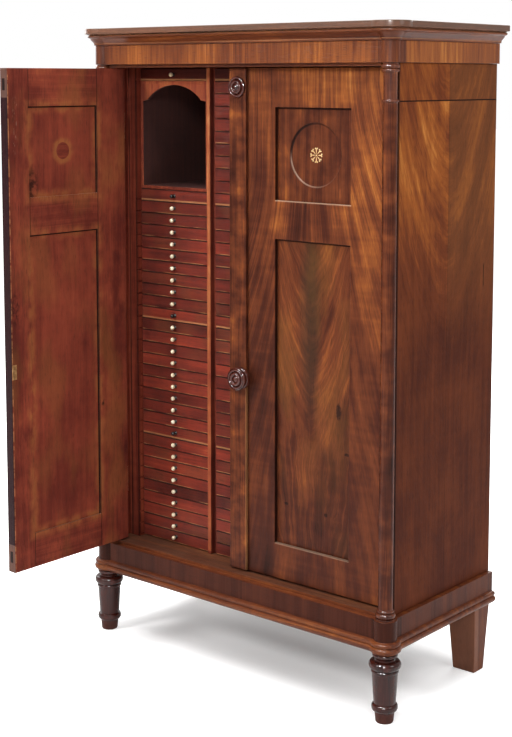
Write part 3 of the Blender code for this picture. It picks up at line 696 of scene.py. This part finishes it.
def turned_finish():
    """The dark polish of the feet, the roundel and the pull."""
    x, y, z = Finish("dark_turning").place()
    tone, pores = straight_grain(z, x, y)
    scuff = noise(x * 160, y * 160, z * 70, 3)
    worn = z.fall(0.018, 0.024) * (0.5 + scuff)
    above_feet = z.rise(0.2, 0.3)
    tone = tone * 0.75 - 0.12 + above_feet * 0.22
    colour = mix(worn * 0.35, tone.ramp(DARK_TONES), srgb(92, 58, 50))
    coat = 0.4 + above_feet * 0.2 - worn * 0.25
    return polished(colour, pores, tone, 0.2 + worn * 0.4, 0.03, coat, haze=0.08)


def strip_finish():
    """The meeting strip: dark mottled mahogany, with a painted highlight along its lower right arris.
    """
    x, y, z = Finish("strip_mahogany").place()
    tone, pores = straight_grain(z, x, y)
    mottle = noise(x * 24, y * 9, z * 30, 4)
    tone = tone * 0.75 + 0.02 + (mottle - 0.5) * 1.0
    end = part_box("meeting_strip")[1].x
    # Painted highlight along the lower right arris.
    arris_highlight = x.rise(end - 0.0018, end - 0.0006) * z.fall(0.60, 0.66)
    colour = mix(arris_highlight * 0.3, tone.ramp(POLISHED_TONES), LIT_AND_WORN_EDGE)
    return polished(colour, pores, tone, 0.34)


def rear_foot_finish():
    x, y, z = Finish("rear_foot_mahogany").place()
    tone, pores = straight_grain(z, x, y, shift=6.0)
    scuff = noise(x * 60, y * 60, z * 45, 4)
    worn = z.fall(0.008, 0.05) * scuff.rise(0.45, 0.7)
    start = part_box("foot_rear_right")[0].y
    # Painted light on the front face; the lighter colour also marks wear near the floor.
    front = y.fall(start + 0.012, start + 0.02)
    colour = mix(0.5, (tone * 0.8 + 0.12).ramp(POLISHED_TONES), srgb(74, 42, 34))
    colour = mix(front * 0.6 + worn * 0.2, colour, srgb(138, 94, 74))
    return polished(colour, pores, tone, 0.36 + worn * 0.2, 0.06)


def drawer_front_finish():
    """Brick-red drawer fronts, each of its own tone, with patchy painted highlight and wear on their
    lower edges, painted shade along their tops, and painted shade on the top row.
    """
    x, y, z = Finish("drawer_front_mahogany").place()
    level = (z - ROWS_Z) / ROW_PITCH
    row = level.math("FLOOR")
    own = row.chance()
    tone, pores = straight_grain(x, z, y, shift=own * 40)
    blotch = noise(x * 11, own * 90, z * 9, 4)
    fixed = x.rise(OPEN_BANK_END - 0.002, OPEN_BANK_END + 0.002)
    tone = tone * 0.65 + 0.09 + (own - 0.5) * 0.32 + (blotch - 0.5) * 0.75 - fixed * 0.10
    colour = tone.ramp(DRAWER_TONES)
    olive = noise(x * 8, own * 60, z * 6, 3).rise(0.5, 0.7)
    colour = mix(olive * 0.3, colour, srgb(110, 66, 40))
    height = level.math("FRACT")
    foot = noise(x * 20, own * 70, 4.0, 3).rise(0.40, 0.68)
    # Lower edges: painted highlight and wear, in patches.
    edge = height.fall(0.06, 0.10) * foot
    # Painted shade along the top of each front, under the seam.
    seam = height.rise(0.88, 0.945)
    tenth = row.math("MODULO", 10.0).band(9.0, 0.2, 0.1)
    sill = height.fall(0.14, 0.20) * tenth
    colour = mix(higher(edge * 0.6, sill * 0.4), colour, LIT_AND_WORN_EDGE)
    # Painted shade on the top row, under the frieze.
    grime_and_shade = z.rise(TOP_ROW_Z - 0.002, TOP_ROW_Z + 0.012) * 0.5
    colour = mix(higher(seam * 0.8, grime_and_shade), colour, JOINT_DARK)
    return polished(colour, pores, tone, 0.4, 0.1)


def tray_finish(name, lift):
    """The plain red wood of the drawers' lining and of the doors' plugs, left unpolished."""
    x, y, z = Finish(name).place()
    tone, pores = straight_grain(y, x, z)
    return polished((tone * 0.6 + lift).ramp(RED_TONES), pores, tone, 0.6, 0.05)


def case_finish(name, node, front_highlight, dull=0.0):
    """Dividers and pigeonhole: red mahogany, with a painted highlight on its front edge against which
    the faces behind look shaded, and dull behind it.
    """
    x, y, z = Finish(name).place()
    tone, pores = straight_grain(z, x, y)
    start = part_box(node)[0]
    face = y.fall(start.y + 0.0012, start.y + 0.0022)
    lip = z.fall(start.z + CASE_WALL - 0.001, start.z + CASE_WALL + 0.001)
    mottle = noise(x * 14, y * 14, z * 12, 4)
    # Painted highlight on the front face, weaker on the pigeonhole's bottom lip.
    tone = tone * 0.75 + (mottle - 0.5) * 0.55 + face * (1 - lip * 0.8) * front_highlight
    colour = mix((1 - face) * dull, tone.ramp(RED_TONES), srgb(72, 54, 52))
    return polished(colour, pores, tone, 0.42)


def back_finish():
    """Upright back boards of plain wood, each of its own tone, dull and stained."""
    x, y, z = Finish("back_boards").place()
    low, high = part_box("back_panel")
    own = ((x - low.x) / ((high.x - low.x) / BACK_BOARDS)).math("FLOOR").chance()
    tone, pores = straight_grain(z, x, y, shift=own * 30)
    stain = noise(x * 5, y * 5, z * 4, 4)
    grime_and_shade = noise(x * 9, y * 9, z * 7, 4).rise(0.42, 0.7)
    tone = tone * 0.7 + 0.08 + (own - 0.5) * 0.2 + (stain - 0.5) * 0.5
    colour = mix(0.35 + grime_and_shade * 0.25, tone.ramp(RED_TONES), srgb(104, 76, 54))
    return polished(colour, pores, tone, 0.62, 0.03)


def hard(colour, roughness, height, relief=0.0001, **sockets):
    """Finishes bone, ebony, brass and inlay, with a fine relief."""
    colour.finish.set(base_color=colour, roughness=roughness, **sockets)
    colour.finish.bump(height, relief)
    return colour.finish.material


def bone_finish():
    x, y, z = Finish("bone").place()
    cloud = noise(x * 160, y * 160, z * 160, 3)
    fleck = noise(x * 900, y * 300, z * 900, 1).rise(0.62, 0.75)
    stops = ((0.3, srgb(206, 182, 138)), (0.7, srgb(240, 226, 196)))
    colour = mix(fleck * 0.4, cloud.ramp(stops), srgb(140, 104, 66))
    return hard(colour, 0.28 + cloud * 0.12, cloud - fleck, specular_ior_level=0.5)


def ebony_finish():
    x, y, z = Finish("ebony").place()
    streak = noise(x * 500, y * 120, z * 500, 3)
    stops = ((0.3, srgb(14, 9, 8)), (0.8, srgb(42, 28, 22)))
    return hard(streak.ramp(stops), 0.3 + streak * 0.15, streak, specular_ior_level=0.12)


def brass_finish():
    x, y, z = Finish("old_brass").place()
    tarnish = noise(x * 120, y * 120, z * 120, 4)
    rub = noise(x * 900, y * 900, z * 90, 2)
    stops = ((0.35, srgb(124, 92, 58)), (0.55, srgb(190, 154, 104)), (0.8, srgb(226, 198, 150)))
    colour = (tarnish * 0.7 + rub * 0.3).ramp(stops)
    return hard(colour, 0.26 + tarnish * 0.25, rub, 0.00008, metallic=1.0)


def inlay_finish():
    """Pale inlay of the rosettes, yellowed in clouds."""
    x, y, z = Finish("rosette_inlay").place()
    cloud = noise(x * 500, y * 500, z * 500, 3)
    stops = ((0.3, srgb(196, 150, 82)), (0.7, srgb(236, 212, 158)))
    return hard(cloud.ramp(stops), 0.35 + cloud * 0.1, cloud, specular_ior_level=0.4)


def add_object(name, data):
    obj = bpy.data.objects.new(name, data)
    bpy.context.scene.collection.objects.link(obj)
    return obj


def piece(name, bm, body, finishes, stands_for):
    """Turns a worked shape into a smooth mesh with crisp corners that rides on a body."""
    bmesh.ops.recalc_face_normals(bm, faces=bm.faces)
    mesh = bpy.data.meshes.new(name)
    bm.to_mesh(mesh)
    bm.free()
    mesh.shade_smooth()
    mesh.set_sharp_from_angle(angle=SMOOTH_ANGLE)
    for finish in finishes:
        mesh.materials.append(finish)
    obj = add_object(name, mesh)
    keep_flats(obj)
    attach(obj, body)
    if stands_for:
        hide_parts(*stands_for)


def keep_flats(obj):
    even = obj.modifiers.new("flat_shading", "WEIGHTED_NORMAL")
    even.keep_sharp = True


def add_board(bm, low, high, arris=BOARD_ARRIS, material=0):
    """Adds a board with rounded arrises."""
    size = [b - a for a, b in zip(low, high)]
    middle = [(a + b) / 2 for a, b in zip(low, high)]
    shape = Matrix.Translation(middle) @ Matrix.Diagonal((*size, 1))
    cube = bmesh.ops.create_cube(bm, size=1, matrix=shape)["verts"]
    edges = list({edge for vert in cube for edge in vert.link_edges})
    rounded = bmesh.ops.bevel(bm, geom=edges, offset=arris, segments=2, profile=0.5, affect="EDGES")
    faces = {face for vert in rounded["verts"] for face in vert.link_faces}
    for face in faces:
        face.material_index = material


def add_turning(bm, profile, matrix, steps=LATHE_STEPS, material=0, ring=False):
    """Adds a lathe shape, its profile listed from the head to the foot as radius and height."""
    rings = []
    for radius, height in profile:
        turns = [2 * math.pi * i / steps for i in range(steps if radius else 1)]
        spots = [Vector((radius * math.cos(a), radius * math.sin(a), height)) for a in turns]
        rings.append([bm.verts.new(matrix @ spot) for spot in spots])
    if ring:
        rings.append(rings[0])
    for upper, lower in zip(rings, rings[1:]):
        for i in range(steps):
            j = (i + 1) % steps
            pairs = ((upper, i), (upper, j), (lower, j), (lower, i))
            corners = [row[k % len(row)] for row, k in pairs]
            face = bm.faces.new(list(dict.fromkeys(corners)))
            face.material_index = material


def half_round(radius, top, bottom, bulge):
    middle = (top + bottom) / 2
    half = (top - bottom) / 2
    return [(radius + bulge * math.sin(a), middle + half * math.cos(a)) for a in HALF_TURN]


def ogee(start, end, top, bottom):
    middle = (start + end) / 2
    half = (start - end) / 2
    return [(middle + half * math.cos(a), top + (bottom - top) * a / math.pi) for a in HALF_TURN]


def raised_ring(inner, outer, height, rise):
    middle = (inner + outer) / 2
    half = (outer - inner) / 2
    return [(middle - half * math.cos(a), height + rise * math.sin(a)) for a in HALF_TURN]


def forward(spot, radius, reach):
    """Places a turning so that its axis points to the front, scaled to its radius and reach."""
    turn = Matrix.Rotation(math.pi / 2, 4, "X")
    return Matrix.Translation(spot) @ turn @ Matrix.Diagonal((radius, radius, reach, 1))


def upright_turning(node, profile, unit, tall, finish):
    """Sets a turning upright in the place of its node, its profile scaled in width and height."""
    low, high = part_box(node)
    spot = Matrix.Translation(((low.x + high.x) / 2, (low.y + high.y) / 2, low.z))
    bm = bmesh.new()
    add_turning(bm, profile, spot @ Matrix.Diagonal((unit, unit, tall, 1)))
    piece("turned_" + node, bm, "carcass", [finish], [node])


def columns(finish):
    for label in ("left", "right"):
        node = "column_" + label
        low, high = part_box(node)
        unit = COLUMN_RADIUS / 30
        top = (high.z - low.z) / unit
        base = (high.x - low.x) / 2 / unit
        profile = [
            (0, top),
            (30.6, top),
            (30.6, top - 6),
            *half_round(31.8, top - 7, top - 21, 5),
            (29.4, top - 23),
            *half_round(30, top - 24, top - 36, 5),
            (27, top - 39),
            (27, top - 140),
            *half_round(29.1, top - 142, top - 153, 5),
            (29.1, top - 155),
            (30, 41),
            *half_round(30.6, 40, 29, 5),
            *half_round(base - 9, 28, 6, 9),
            (base, 5),
            (base, 0),
            (0, 0),
        ]
        upright_turning(node, profile, unit, unit, finish)


def front_feet(finish):
    profile = [
        (0, 1),
        (47, 1),
        *half_round(45, 0.99, 0.93, 7),
        (41, 0.91),
        (43, 0.89),
        *half_round(53, 0.885, 0.765, 13),
        *half_round(53, 0.755, 0.71, 3.6),
        (53, 0.70),
        (45.6, 0.275),
        *half_round(45, 0.27, 0.165, 9),
        (41, 0.155),
        (37, 0.015),
        (34.4, 0),
        (0, 0),
    ]
    for label in ("left", "right"):
        node = "foot_front_" + label
        low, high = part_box(node)
        upright_turning(node, profile, (high.x - low.x) / 132, high.z, finish)


def meeting_strip(strip, turned):
    low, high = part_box("meeting_strip")
    board_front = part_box("pull_knob")[1].y + PULL_BEDDING
    bm = bmesh.new()
    add_board(bm, (low.x, board_front, low.z), high, UPRIGHT_ARRIS)
    piece("meeting_strip_board", bm, "door_right", [strip], ["meeting_strip"])
    profile = [
        (0, 18),
        (4.5, 17.7),
        (8.1, 16.4),
        (10.8, 12),
        (13.5, 10),
        *raised_ring(16.2, 29.7, 10, 8),
        (31.05, 7),
        *raised_ring(32.4, 45, 6, 6),
        (45, -1),
        (0, -1),
    ]
    bm = bmesh.new()
    spot = ((low.x + high.x) / 2, board_front, high.z - ROUNDEL_DROP)
    unit = ROUNDEL_RADIUS / 45
    add_turning(bm, profile, forward(spot, unit, unit))
    piece("meeting_roundel", bm, "door_right", [turned], ())


def pull(finish):
    low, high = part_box("pull_knob")
    radius = (high.x - low.x) / 2
    foot = PULL_FOOT_RADIUS / radius
    profile = [
        (0, 0.97),
        (0.12, 0.955),
        (0.22, 0.90),
        *raised_ring(0.28, 0.62, 0.86, 0.14),
        *raised_ring(0.66, 0.90, 0.80, 0.10),
        (0.97, 0.78),
        (1, 0.75),
        (1, 0.63),
        *ogee(0.97, 0.80, 0.60, 0.50),
        *ogee(0.80, 0.96, 0.46, 0.36),
        (0.98, 0.34),
        (0.98, 0.16),
        (0.95, 0.14),
        (foot, 0.10),
        (foot, 0),
        (0, 0),
    ]
    bm = bmesh.new()
    spot = ((low.x + high.x) / 2, high.y, (low.z + high.z) / 2)
    add_turning(bm, profile, forward(spot, radius, high.y - low.y))
    piece("turned_pull", bm, "door_right", [finish], ["pull_knob"])


def add_knob(bm, x, z, material):
    """Adds a turned knob: a rounded head on a dark stem that spreads to a wide foot, which also stands
    in as painted shadow beside the knob.
    """
    turns = [math.pi * i / KNOB_ARC_STEPS for i in range(KNOB_ARC_STEPS + 1)]
    arc = [(math.sin(a), 0.66 + 0.34 * math.cos(a)) for a in turns]
    head = [(0, 1), *arc[1:-2], (0.5, 0.36), (0, 0.36)]
    # The dark stem's wide foot is partly painted shadow of the knob.
    stem_and_shadow = [(0, 0.38), (0.46, 0.38), (0.50, 0.16), (0.90, 0.06), (0.94, 0), (0, -0.001 / KNOB_REACH)]
    spot = forward((x, case_front, z), KNOB_RADIUS, KNOB_REACH)
    add_turning(bm, head, spot, KNOB_STEPS, material)
    add_turning(bm, stem_and_shadow, spot, KNOB_STEPS, material + 1)


def drawers(front, tray, bone, ebony):
    for number in range(1, DRAWERS + 1):
        node = f"drawer_{number:02d}"
        low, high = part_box(node)
        middle = (low.x + high.x) / 2
        half = (high.x - low.x) / 2 - TONGUE_REACH - TONGUE_PLAY
        back = case_front + DRAWER_FRONT
        floor = low.z - DRAWER_SEAM / 2 + TONGUE_LIFT
        rim = half - DRAWER_WALL
        bm = bmesh.new()
        add_board(bm, (middle - half, case_front, low.z), (middle + half, back, high.z))
        walls = ((-half, -rim, back), (rim, half, back), (-rim, rim, high.y - DRAWER_WALL))
        for start, end, near in walls:
            corners = (middle + start, near, low.z), (middle + end, high.y, high.z)
            add_board(bm, *corners, TRAY_ARRIS, material=1)
        top = (high.x, high.y, floor + DRAWER_BOTTOM)
        add_board(bm, (low.x, back, floor), top, THIN_ARRIS, material=1)
        add_knob(bm, middle, (low.z + high.z) / 2, material=2)
        knob = ebony if number in EBONY_KNOBS else bone
        name = f"specimen_drawer_{number:02d}"
        piece(name, bm, node, [front, tray, knob, ebony], [node])


def fixed_banks(front, tray, bone, ebony):
    for node in ("bank_middle", "bank_right"):
        low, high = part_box(node)
        middle = (low.x + high.x) / 2
        bm = bmesh.new()
        add_board(bm, (low.x, case_front + BANK_BACKING, low.z), high, material=1)
        for row in range(ROWS):
            z = ROWS_Z + row * ROW_PITCH + DRAWER_SEAM / 2
            top = z + ROW_PITCH - DRAWER_SEAM
            add_board(bm, (low.x, case_front, z), (high.x, case_front + DRAWER_FRONT, top))
            add_knob(bm, middle, (z + top) / 2, material=2)
        name = "drawer_fronts_" + node.split("_")[1]
        piece(name, bm, "carcass", [front, tray, bone, ebony], [node])


def dividers(finish):
    """Uprights between the banks, each with a proud nosing on the drawers' side."""
    for label in ("left", "right"):
        node = "divider_" + label
        low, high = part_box(node)
        split = low.x + NOSING if label == "left" else high.x - NOSING
        parts = [(low.x, split), (split, high.x)]
        fronts = [low.y, case_front + NOSING_BACK]
        if label == "right":
            fronts.reverse()
        bm = bmesh.new()
        for (start, end), front in zip(parts, fronts):
            add_board(bm, (start, front, low.z), (end, high.y, high.z), UPRIGHT_ARRIS)
        piece("nosed_" + node, bm, "carcass", [finish], [node])


def arch_outline(half, spring, crown):
    """The underside of the arched front, from left to right, with a small cusp at each side."""
    reach = half * 0.83
    lift = (crown - spring) * 0.16
    left = [
        (-half, spring),
        (-reach - 0.0016, spring + lift * 0.55),
        (-reach - 0.0002, spring + lift * 0.62),
    ]
    rise = crown - spring - lift
    radius = (reach ** 2 + rise ** 2) / (2 * rise)
    widest = math.asin(reach / radius)
    for i in range(ARCH_STEPS + 1):
        a = widest * (1 - i / ARCH_STEPS)
        left.append((-radius * math.sin(a), crown - radius * (1 - math.cos(a))))
    return left + [(-x, z) for x, z in reversed(left[:-1])]


def pigeonhole(finish):
    """The open compartment: thin boards on four sides and the back, with an arched front."""
    low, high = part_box("pigeonhole")
    middle = (low.x + high.x) / 2
    left = low.x + CASE_WALL
    right = high.x - CASE_WALL
    bm = bmesh.new()
    add_board(bm, low, (left, high.y, high.z))
    add_board(bm, (right, low.y, low.z), high)
    add_board(bm, (left, low.y, low.z), (right, high.y, low.z + CASE_WALL))
    add_board(bm, (left, low.y, high.z - CASE_WALL), (right, high.y, high.z))
    add_board(bm, (left, high.y - CASE_WALL, low.z), (right, high.y, high.z))
    outline = arch_outline((right - left) / 2, high.z - ARCH_SPRING, high.z - ARCH_CROWN)
    rows = []
    for y in (low.y + SPANDREL_INSET, low.y + SPANDREL):
        rows.append([bm.verts.new((middle + x, y, z)) for x, z in outline])
        rows.append([bm.verts.new((middle + x, y, high.z - CASE_WALL / 2)) for x, _ in outline])
    loop = [rows[0], rows[1], rows[3], rows[2]]
    for first, second in zip(loop, loop[1:] + loop[:1]):
        for i in range(len(outline) - 1):
            bm.faces.new((first[i], first[i + 1], second[i + 1], second[i]))
    for end in (0, -1):
        bm.faces.new([row[end] for row in loop])
    piece("arched_pigeonhole", bm, "carcass", [finish], ["pigeonhole"])


def back_boards(finish):
    low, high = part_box("back_panel")
    width = (high.x - low.x) / BACK_BOARDS
    bm = bmesh.new()
    for i in range(BACK_BOARDS):
        left = low.x + i * width
        add_board(bm, (left, low.y, low.z), (left + width, high.y, high.z), BOARD_JOINT)
    piece("back_boards", bm, "carcass", [finish], ["back_panel"])


def disc_outline(radius):
    turns = [2 * math.pi * i / DISC_STEPS for i in range(DISC_STEPS)]
    return [(radius * math.cos(a), radius * math.sin(a)) for a in turns]


def petal_outline(length, width):
    """A leaf that is round outside and comes to a point at the middle of the flower."""
    turns = [2 * math.pi * i / PETAL_STEPS for i in range(PETAL_STEPS)]
    spots = [(math.cos(a), math.sin(a)) for a in turns]
    return [(length * (0.60 + 0.40 * x), width * y * (0.62 + 0.38 * x)) for x, y in spots]


def add_inlay(bm, outline, matrix, proud):
    """Adds a thin plate of inlay that stands a hair proud of its ground."""
    lower = [bm.verts.new(matrix @ Vector((x, y, -proud))) for x, y in outline]
    upper = [bm.verts.new(matrix @ Vector((x * 0.97, y * 0.97, proud))) for x, y in outline]
    bm.faces.new(upper)
    bm.faces.new(lower[::-1])
    for i in range(len(outline)):
        j = (i + 1) % len(outline)
        bm.faces.new((lower[i], lower[j], upper[j], upper[i]))


def rosettes(spaces, finish):
    r = ROSETTE_RADIUS
    for label, space in spaces.items():
        centre = space.sinking(DOOR_FACE + PANEL_SUNK + ROUND_SINKING_DEPTH)
        bm = bmesh.new()
        for i in range(ROSETTE_PETALS):
            turn = centre @ Matrix.Rotation(2 * math.pi * i / ROSETTE_PETALS, 4, "Z")
            add_inlay(bm, petal_outline(r * 0.82, r * 0.09), turn, INLAY_PROUD)
            for side in (-1, 1):
                curl = turn @ Matrix.Translation((r * 0.84, side * r * 0.13, 0))
                add_inlay(bm, disc_outline(r * 0.10), curl, INLAY_PROUD)
        add_inlay(bm, disc_outline(r * 0.10), centre, INLAY_PROUD * 1.6)
        piece(f"rosette_{label}", bm, f"door_{label}", [finish], ())


def door_plugs(spaces, finish):
    """Round wooden plugs behind the rosettes, on the inside of the doors."""
    profile = [(0, 0.0007), (0.0165, 0.0006), (0.0182, 0.0002), (0.0186, -0.0008), (0, -0.0008)]
    for label, space in spaces.items():
        bm = bmesh.new()
        add_turning(bm, profile, space.sinking(DOOR_FACE + PANEL_SUNK + PANEL_THICKNESS), PLUG_STEPS)
        piece(f"plug_{label}", bm, f"door_{label}", [finish], ())


def sinking_coves(spaces, finishes):
    """The hollow moulding round the sunk circle of each upper panel."""
    r = ROUND_SINKING_RADIUS
    deep = ROUND_SINKING_DEPTH
    cove = [(r - COVE_WIDTH * (1 - math.cos(a / 2)), deep * math.sin(a / 2)) for a in HALF_TURN]
    profile = [(r + COVE_OVERLAP, 0), *cove, (r + COVE_OVERLAP, deep + 0.0004)]
    for label, space in spaces.items():
        bm = bmesh.new()
        spot = space.sinking(DOOR_FACE + PANEL_SUNK - 0.0001)
        add_turning(bm, profile, spot, COVE_STEPS, ring=True)
        piece(f"sinking_cove_{label}", bm, f"door_{label}", [finishes[label]], ())


def strike_plate(space, brass):
    """The lock's keep on the left door, with its two screws."""
    bm = bmesh.new()
    wide, tall = STRIKE_HALF
    add_board(bm, (-wide, -tall, -0.0004), (wide, tall, 0.0006), THIN_ARRIS)
    screw = [(0, 0.0009), (0.0016, 0.0008), (0.0021, 0.0005), (0.0021, 0.0), (0, 0.0)]
    for height in (-STRIKE_SCREW, STRIKE_SCREW):
        add_turning(bm, screw, Matrix.Translation((0, height, 0)), SCREW_STEPS)
    spot = space.matrix(space.reach - STRIKE_INSET, DOOR_BACK, STRIKE_Z)
    bmesh.ops.transform(bm, matrix=spot, verts=bm.verts)
    piece("strike_plate", bm, "door_left", [brass], ())


def welded_surface():
    """A node group that joins coincident points and shades smooth up to an angle."""
    tree = bpy.data.node_groups.new("welded_surface", "GeometryNodeTree")
    for way in ("INPUT", "OUTPUT"):
        tree.interface.new_socket("Geometry", in_out=way, socket_type="NodeSocketGeometry")
    group = Wiring(tree)
    shape = group.node("NodeGroupInput")
    shape = group.node("GeometryNodeRemoveAttribute", None, {0: shape, "Name": "custom_normal"})
    shape = group.node("GeometryNodeMergeByDistance", None, {0: shape, "Distance": 1e-5})
    shape = group.node("GeometryNodeSetShadeSmooth", None, {0: shape})
    angle = group.node("GeometryNodeInputMeshEdgeAngle", out="Unsigned Angle")
    limits = {"A": angle, "B": SMOOTH_ANGLE}
    gentle = group.node("FunctionNodeCompare", {"operation": "LESS_THAN"}, limits)
    crisp = {0: shape, "Shade Smooth": gentle}
    shape = group.node("GeometryNodeSetShadeSmooth", {"domain": "EDGE"}, crisp)
    group.feed(tree.nodes.new("NodeGroupOutput").inputs[0], shape)
    return tree


def dress(node, finish, arris, angle=30):
    """Gives a CAD node its finish, smooth curved faces and rounded arrises."""
    obj = nodes[node]
    obj.data.materials.clear()
    obj.data.materials.append(finish)
    obj.modifiers.new("welded", "NODES").node_group = surface
    flat = obj.modifiers.new("flats", "DECIMATE")
    flat.decimate_type = "DISSOLVE"
    flat.angle_limit = FLAT_ANGLE
    bevel = obj.modifiers.new("arrises", "BEVEL")
    bevel.width = arris
    bevel.segments = 2
    bevel.limit_method = "ANGLE"
    bevel.angle_limit = math.radians(angle)
    bevel.use_clamp_overlap = True
    keep_flats(obj)


def camera():
    data = bpy.data.cameras.new("camera")
    data.sensor_fit = "AUTO"
    data.sensor_width = SENSOR
    data.lens = FOCAL_PIXELS / FRAME_HEIGHT * SENSOR
    data.shift_y = CAMERA_SHIFT
    obj = add_object("camera", data)
    obj.location = CAMERA_SPOT
    obj.rotation_euler = (math.radians(90 - CAMERA_TILT), 0, math.radians(CAMERA_TURN))
    bpy.context.scene.camera = obj


def lamp(name, spot, target, size, power, shine=False):
    """Adds an area lamp. A shine lamp lights nothing, and is only mirrored in the polish."""
    data = bpy.data.lights.new(name, "AREA")
    data.shape = "RECTANGLE"
    data.size, data.size_y = size
    data.energy = power
    obj = add_object(name, data)
    obj.location = spot
    obj.rotation_euler = (Vector(target) - Vector(spot)).to_track_quat("-Z", "Y").to_euler()
    obj.visible_diffuse = not shine


def seen_rays(wiring):
    """One for the rays that show the background: straight ones, reflections and views through glass."""
    kinds = ("Camera", "Glossy", "Transmission")
    rays = [wiring.node("ShaderNodeLightPath", out=f"Is {kind} Ray") for kind in kinds]
    return higher(higher(rays[0], rays[1]), rays[2])


def studio():
    """A white background, a key lamp at the front left, and softer lamps above and at the sides."""
    world = bpy.data.worlds.new("studio")
    bpy.context.scene.world = world
    world.use_nodes = True
    world.node_tree.nodes.clear()
    sky = Wiring(world.node_tree)
    room = sky.node("ShaderNodeBackground", None, {"Color": WHITE, "Strength": 0.25})
    white = sky.node("ShaderNodeBackground", None, {"Color": WHITE, "Strength": 1.0})
    blend = sky.node("ShaderNodeMixShader", None, {0: seen_rays(sky), 1: room, 2: white})
    sky.feed(sky.tree.nodes.new("ShaderNodeOutputWorld").inputs[0], blend)
    lamp("key", (-1.3, -3.4, 2.9), (0, 0, 0.75), (0.8, 0.8), 112)
    lamp("front_fill", (2.5, -3.3, 2.4), (0, 0, 0.8), (0.6, 0.6), 30)
    lamp("right_fill", (3.4, 0.25, 2.5), (0.4, 0.15, 0.9), (1.4, 1.8), 54)
    lamp("top", (0.2, -0.9, 3.6), (0, -0.2, 0.9), (2.2, 1.6), 80)
    lamp("back_fill", (-0.8, 3.6, 2.2), (0, 0.3, 0.8), (2.0, 2.0), 90)
    lamp("left_fill", (-3.6, 0.6, 2.2), (-0.4, 0.15, 0.8), (1.6, 1.8), 60)
    lamp("left_shine", (0, -3.6, 3.8), (0, 0, 0.6), (0.5, 0.5), 600, shine=True)
    lamp("right_shine", (2.2, -3.3, 2.6), (0, 0, 0.6), (0.4, 0.4), 400, shine=True)


def floor():
    """A white floor that keeps the shadow under the cabinet and fades into the background."""
    finish = Finish("white_floor")
    x, y, _ = finish.place()
    beyond = higher(abs(x) - FLOOR_HALF_WIDTH, abs(y - FLOOR_MIDDLE) - FLOOR_HALF_DEPTH)
    far = beyond.rise(-0.14, 0.14)
    glow = seen_rays(finish) * (0.06 + far * 0.94)
    finish.set(base_color=(0.83, 0.83, 0.83), roughness=0.9, specular_ior_level=0.0)
    finish.set(emission_color=mix(glow, (0, 0, 0), WHITE), emission_strength=1.0)
    bm = bmesh.new()
    bmesh.ops.create_grid(bm, x_segments=1, y_segments=1, size=30)
    mesh = bpy.data.meshes.new("floor")
    bm.to_mesh(mesh)
    bm.free()
    mesh.materials.append(finish.material)
    obj = add_object("floor", mesh)
    obj.location.z = -0.0002


bpy.context.scene.view_settings.view_transform = "Standard"
camera()
studio()
floor()

spaces = {
    "left": DoorSpace("left", LEFT_DOOR_OPEN, 1),
    "right": DoorSpace("right", 0.0, -1),
}
surface = welded_surface()
sides = side_finish()
rear_foot = rear_foot_finish()
brass = brass_finish()
dress("cornice", cornice_finish(), 0.0005, 60)
dress("frieze", frieze_finish(), 0.0005, 60)
dress("plinth", plinth_finish(), 0.0005, 60)
upper_panels = {}
for label, space in spaces.items():
    door = "door_" + label
    dress("side_" + label, sides, 0.0006)
    dress("foot_rear_" + label, rear_foot, 0.0014)
    dress(door + "_frame", door_finish(door + "_veneer", space), 0.0009)
    upper_panels[label] = door_finish(door + "_upper_veneer", space, "upper")
    dress(door + "_upper_panel", upper_panels[label], 0.0004)
    dress(door + "_lower_panel", door_finish(door + "_lower_veneer", space, "lower"), 0.0007)
    for level in ("upper", "lower"):
        dress(f"hinge_{label}_{level}", brass, 0.0003, 60)

turned = turned_finish()
columns(column_finish())
front_feet(turned)
meeting_strip(strip_finish(), turned)
pull(turned)
drawer_woods = (
    drawer_front_finish(),
    tray_finish("drawer_lining", 0.32),
    bone_finish(),
    ebony_finish(),
)
drawers(*drawer_woods)
fixed_banks(*drawer_woods)
dividers(case_finish("divider_mahogany", "divider_left", 0.42))
pigeonhole(case_finish("pigeonhole_mahogany", "pigeonhole", 0.28, 0.8))
back_boards(back_finish())
rosettes(spaces, inlay_finish())
door_plugs(spaces, tray_finish("plug_mahogany", 0.06))
sinking_coves(spaces, upper_panels)
strike_plate(spaces["left"], brass)
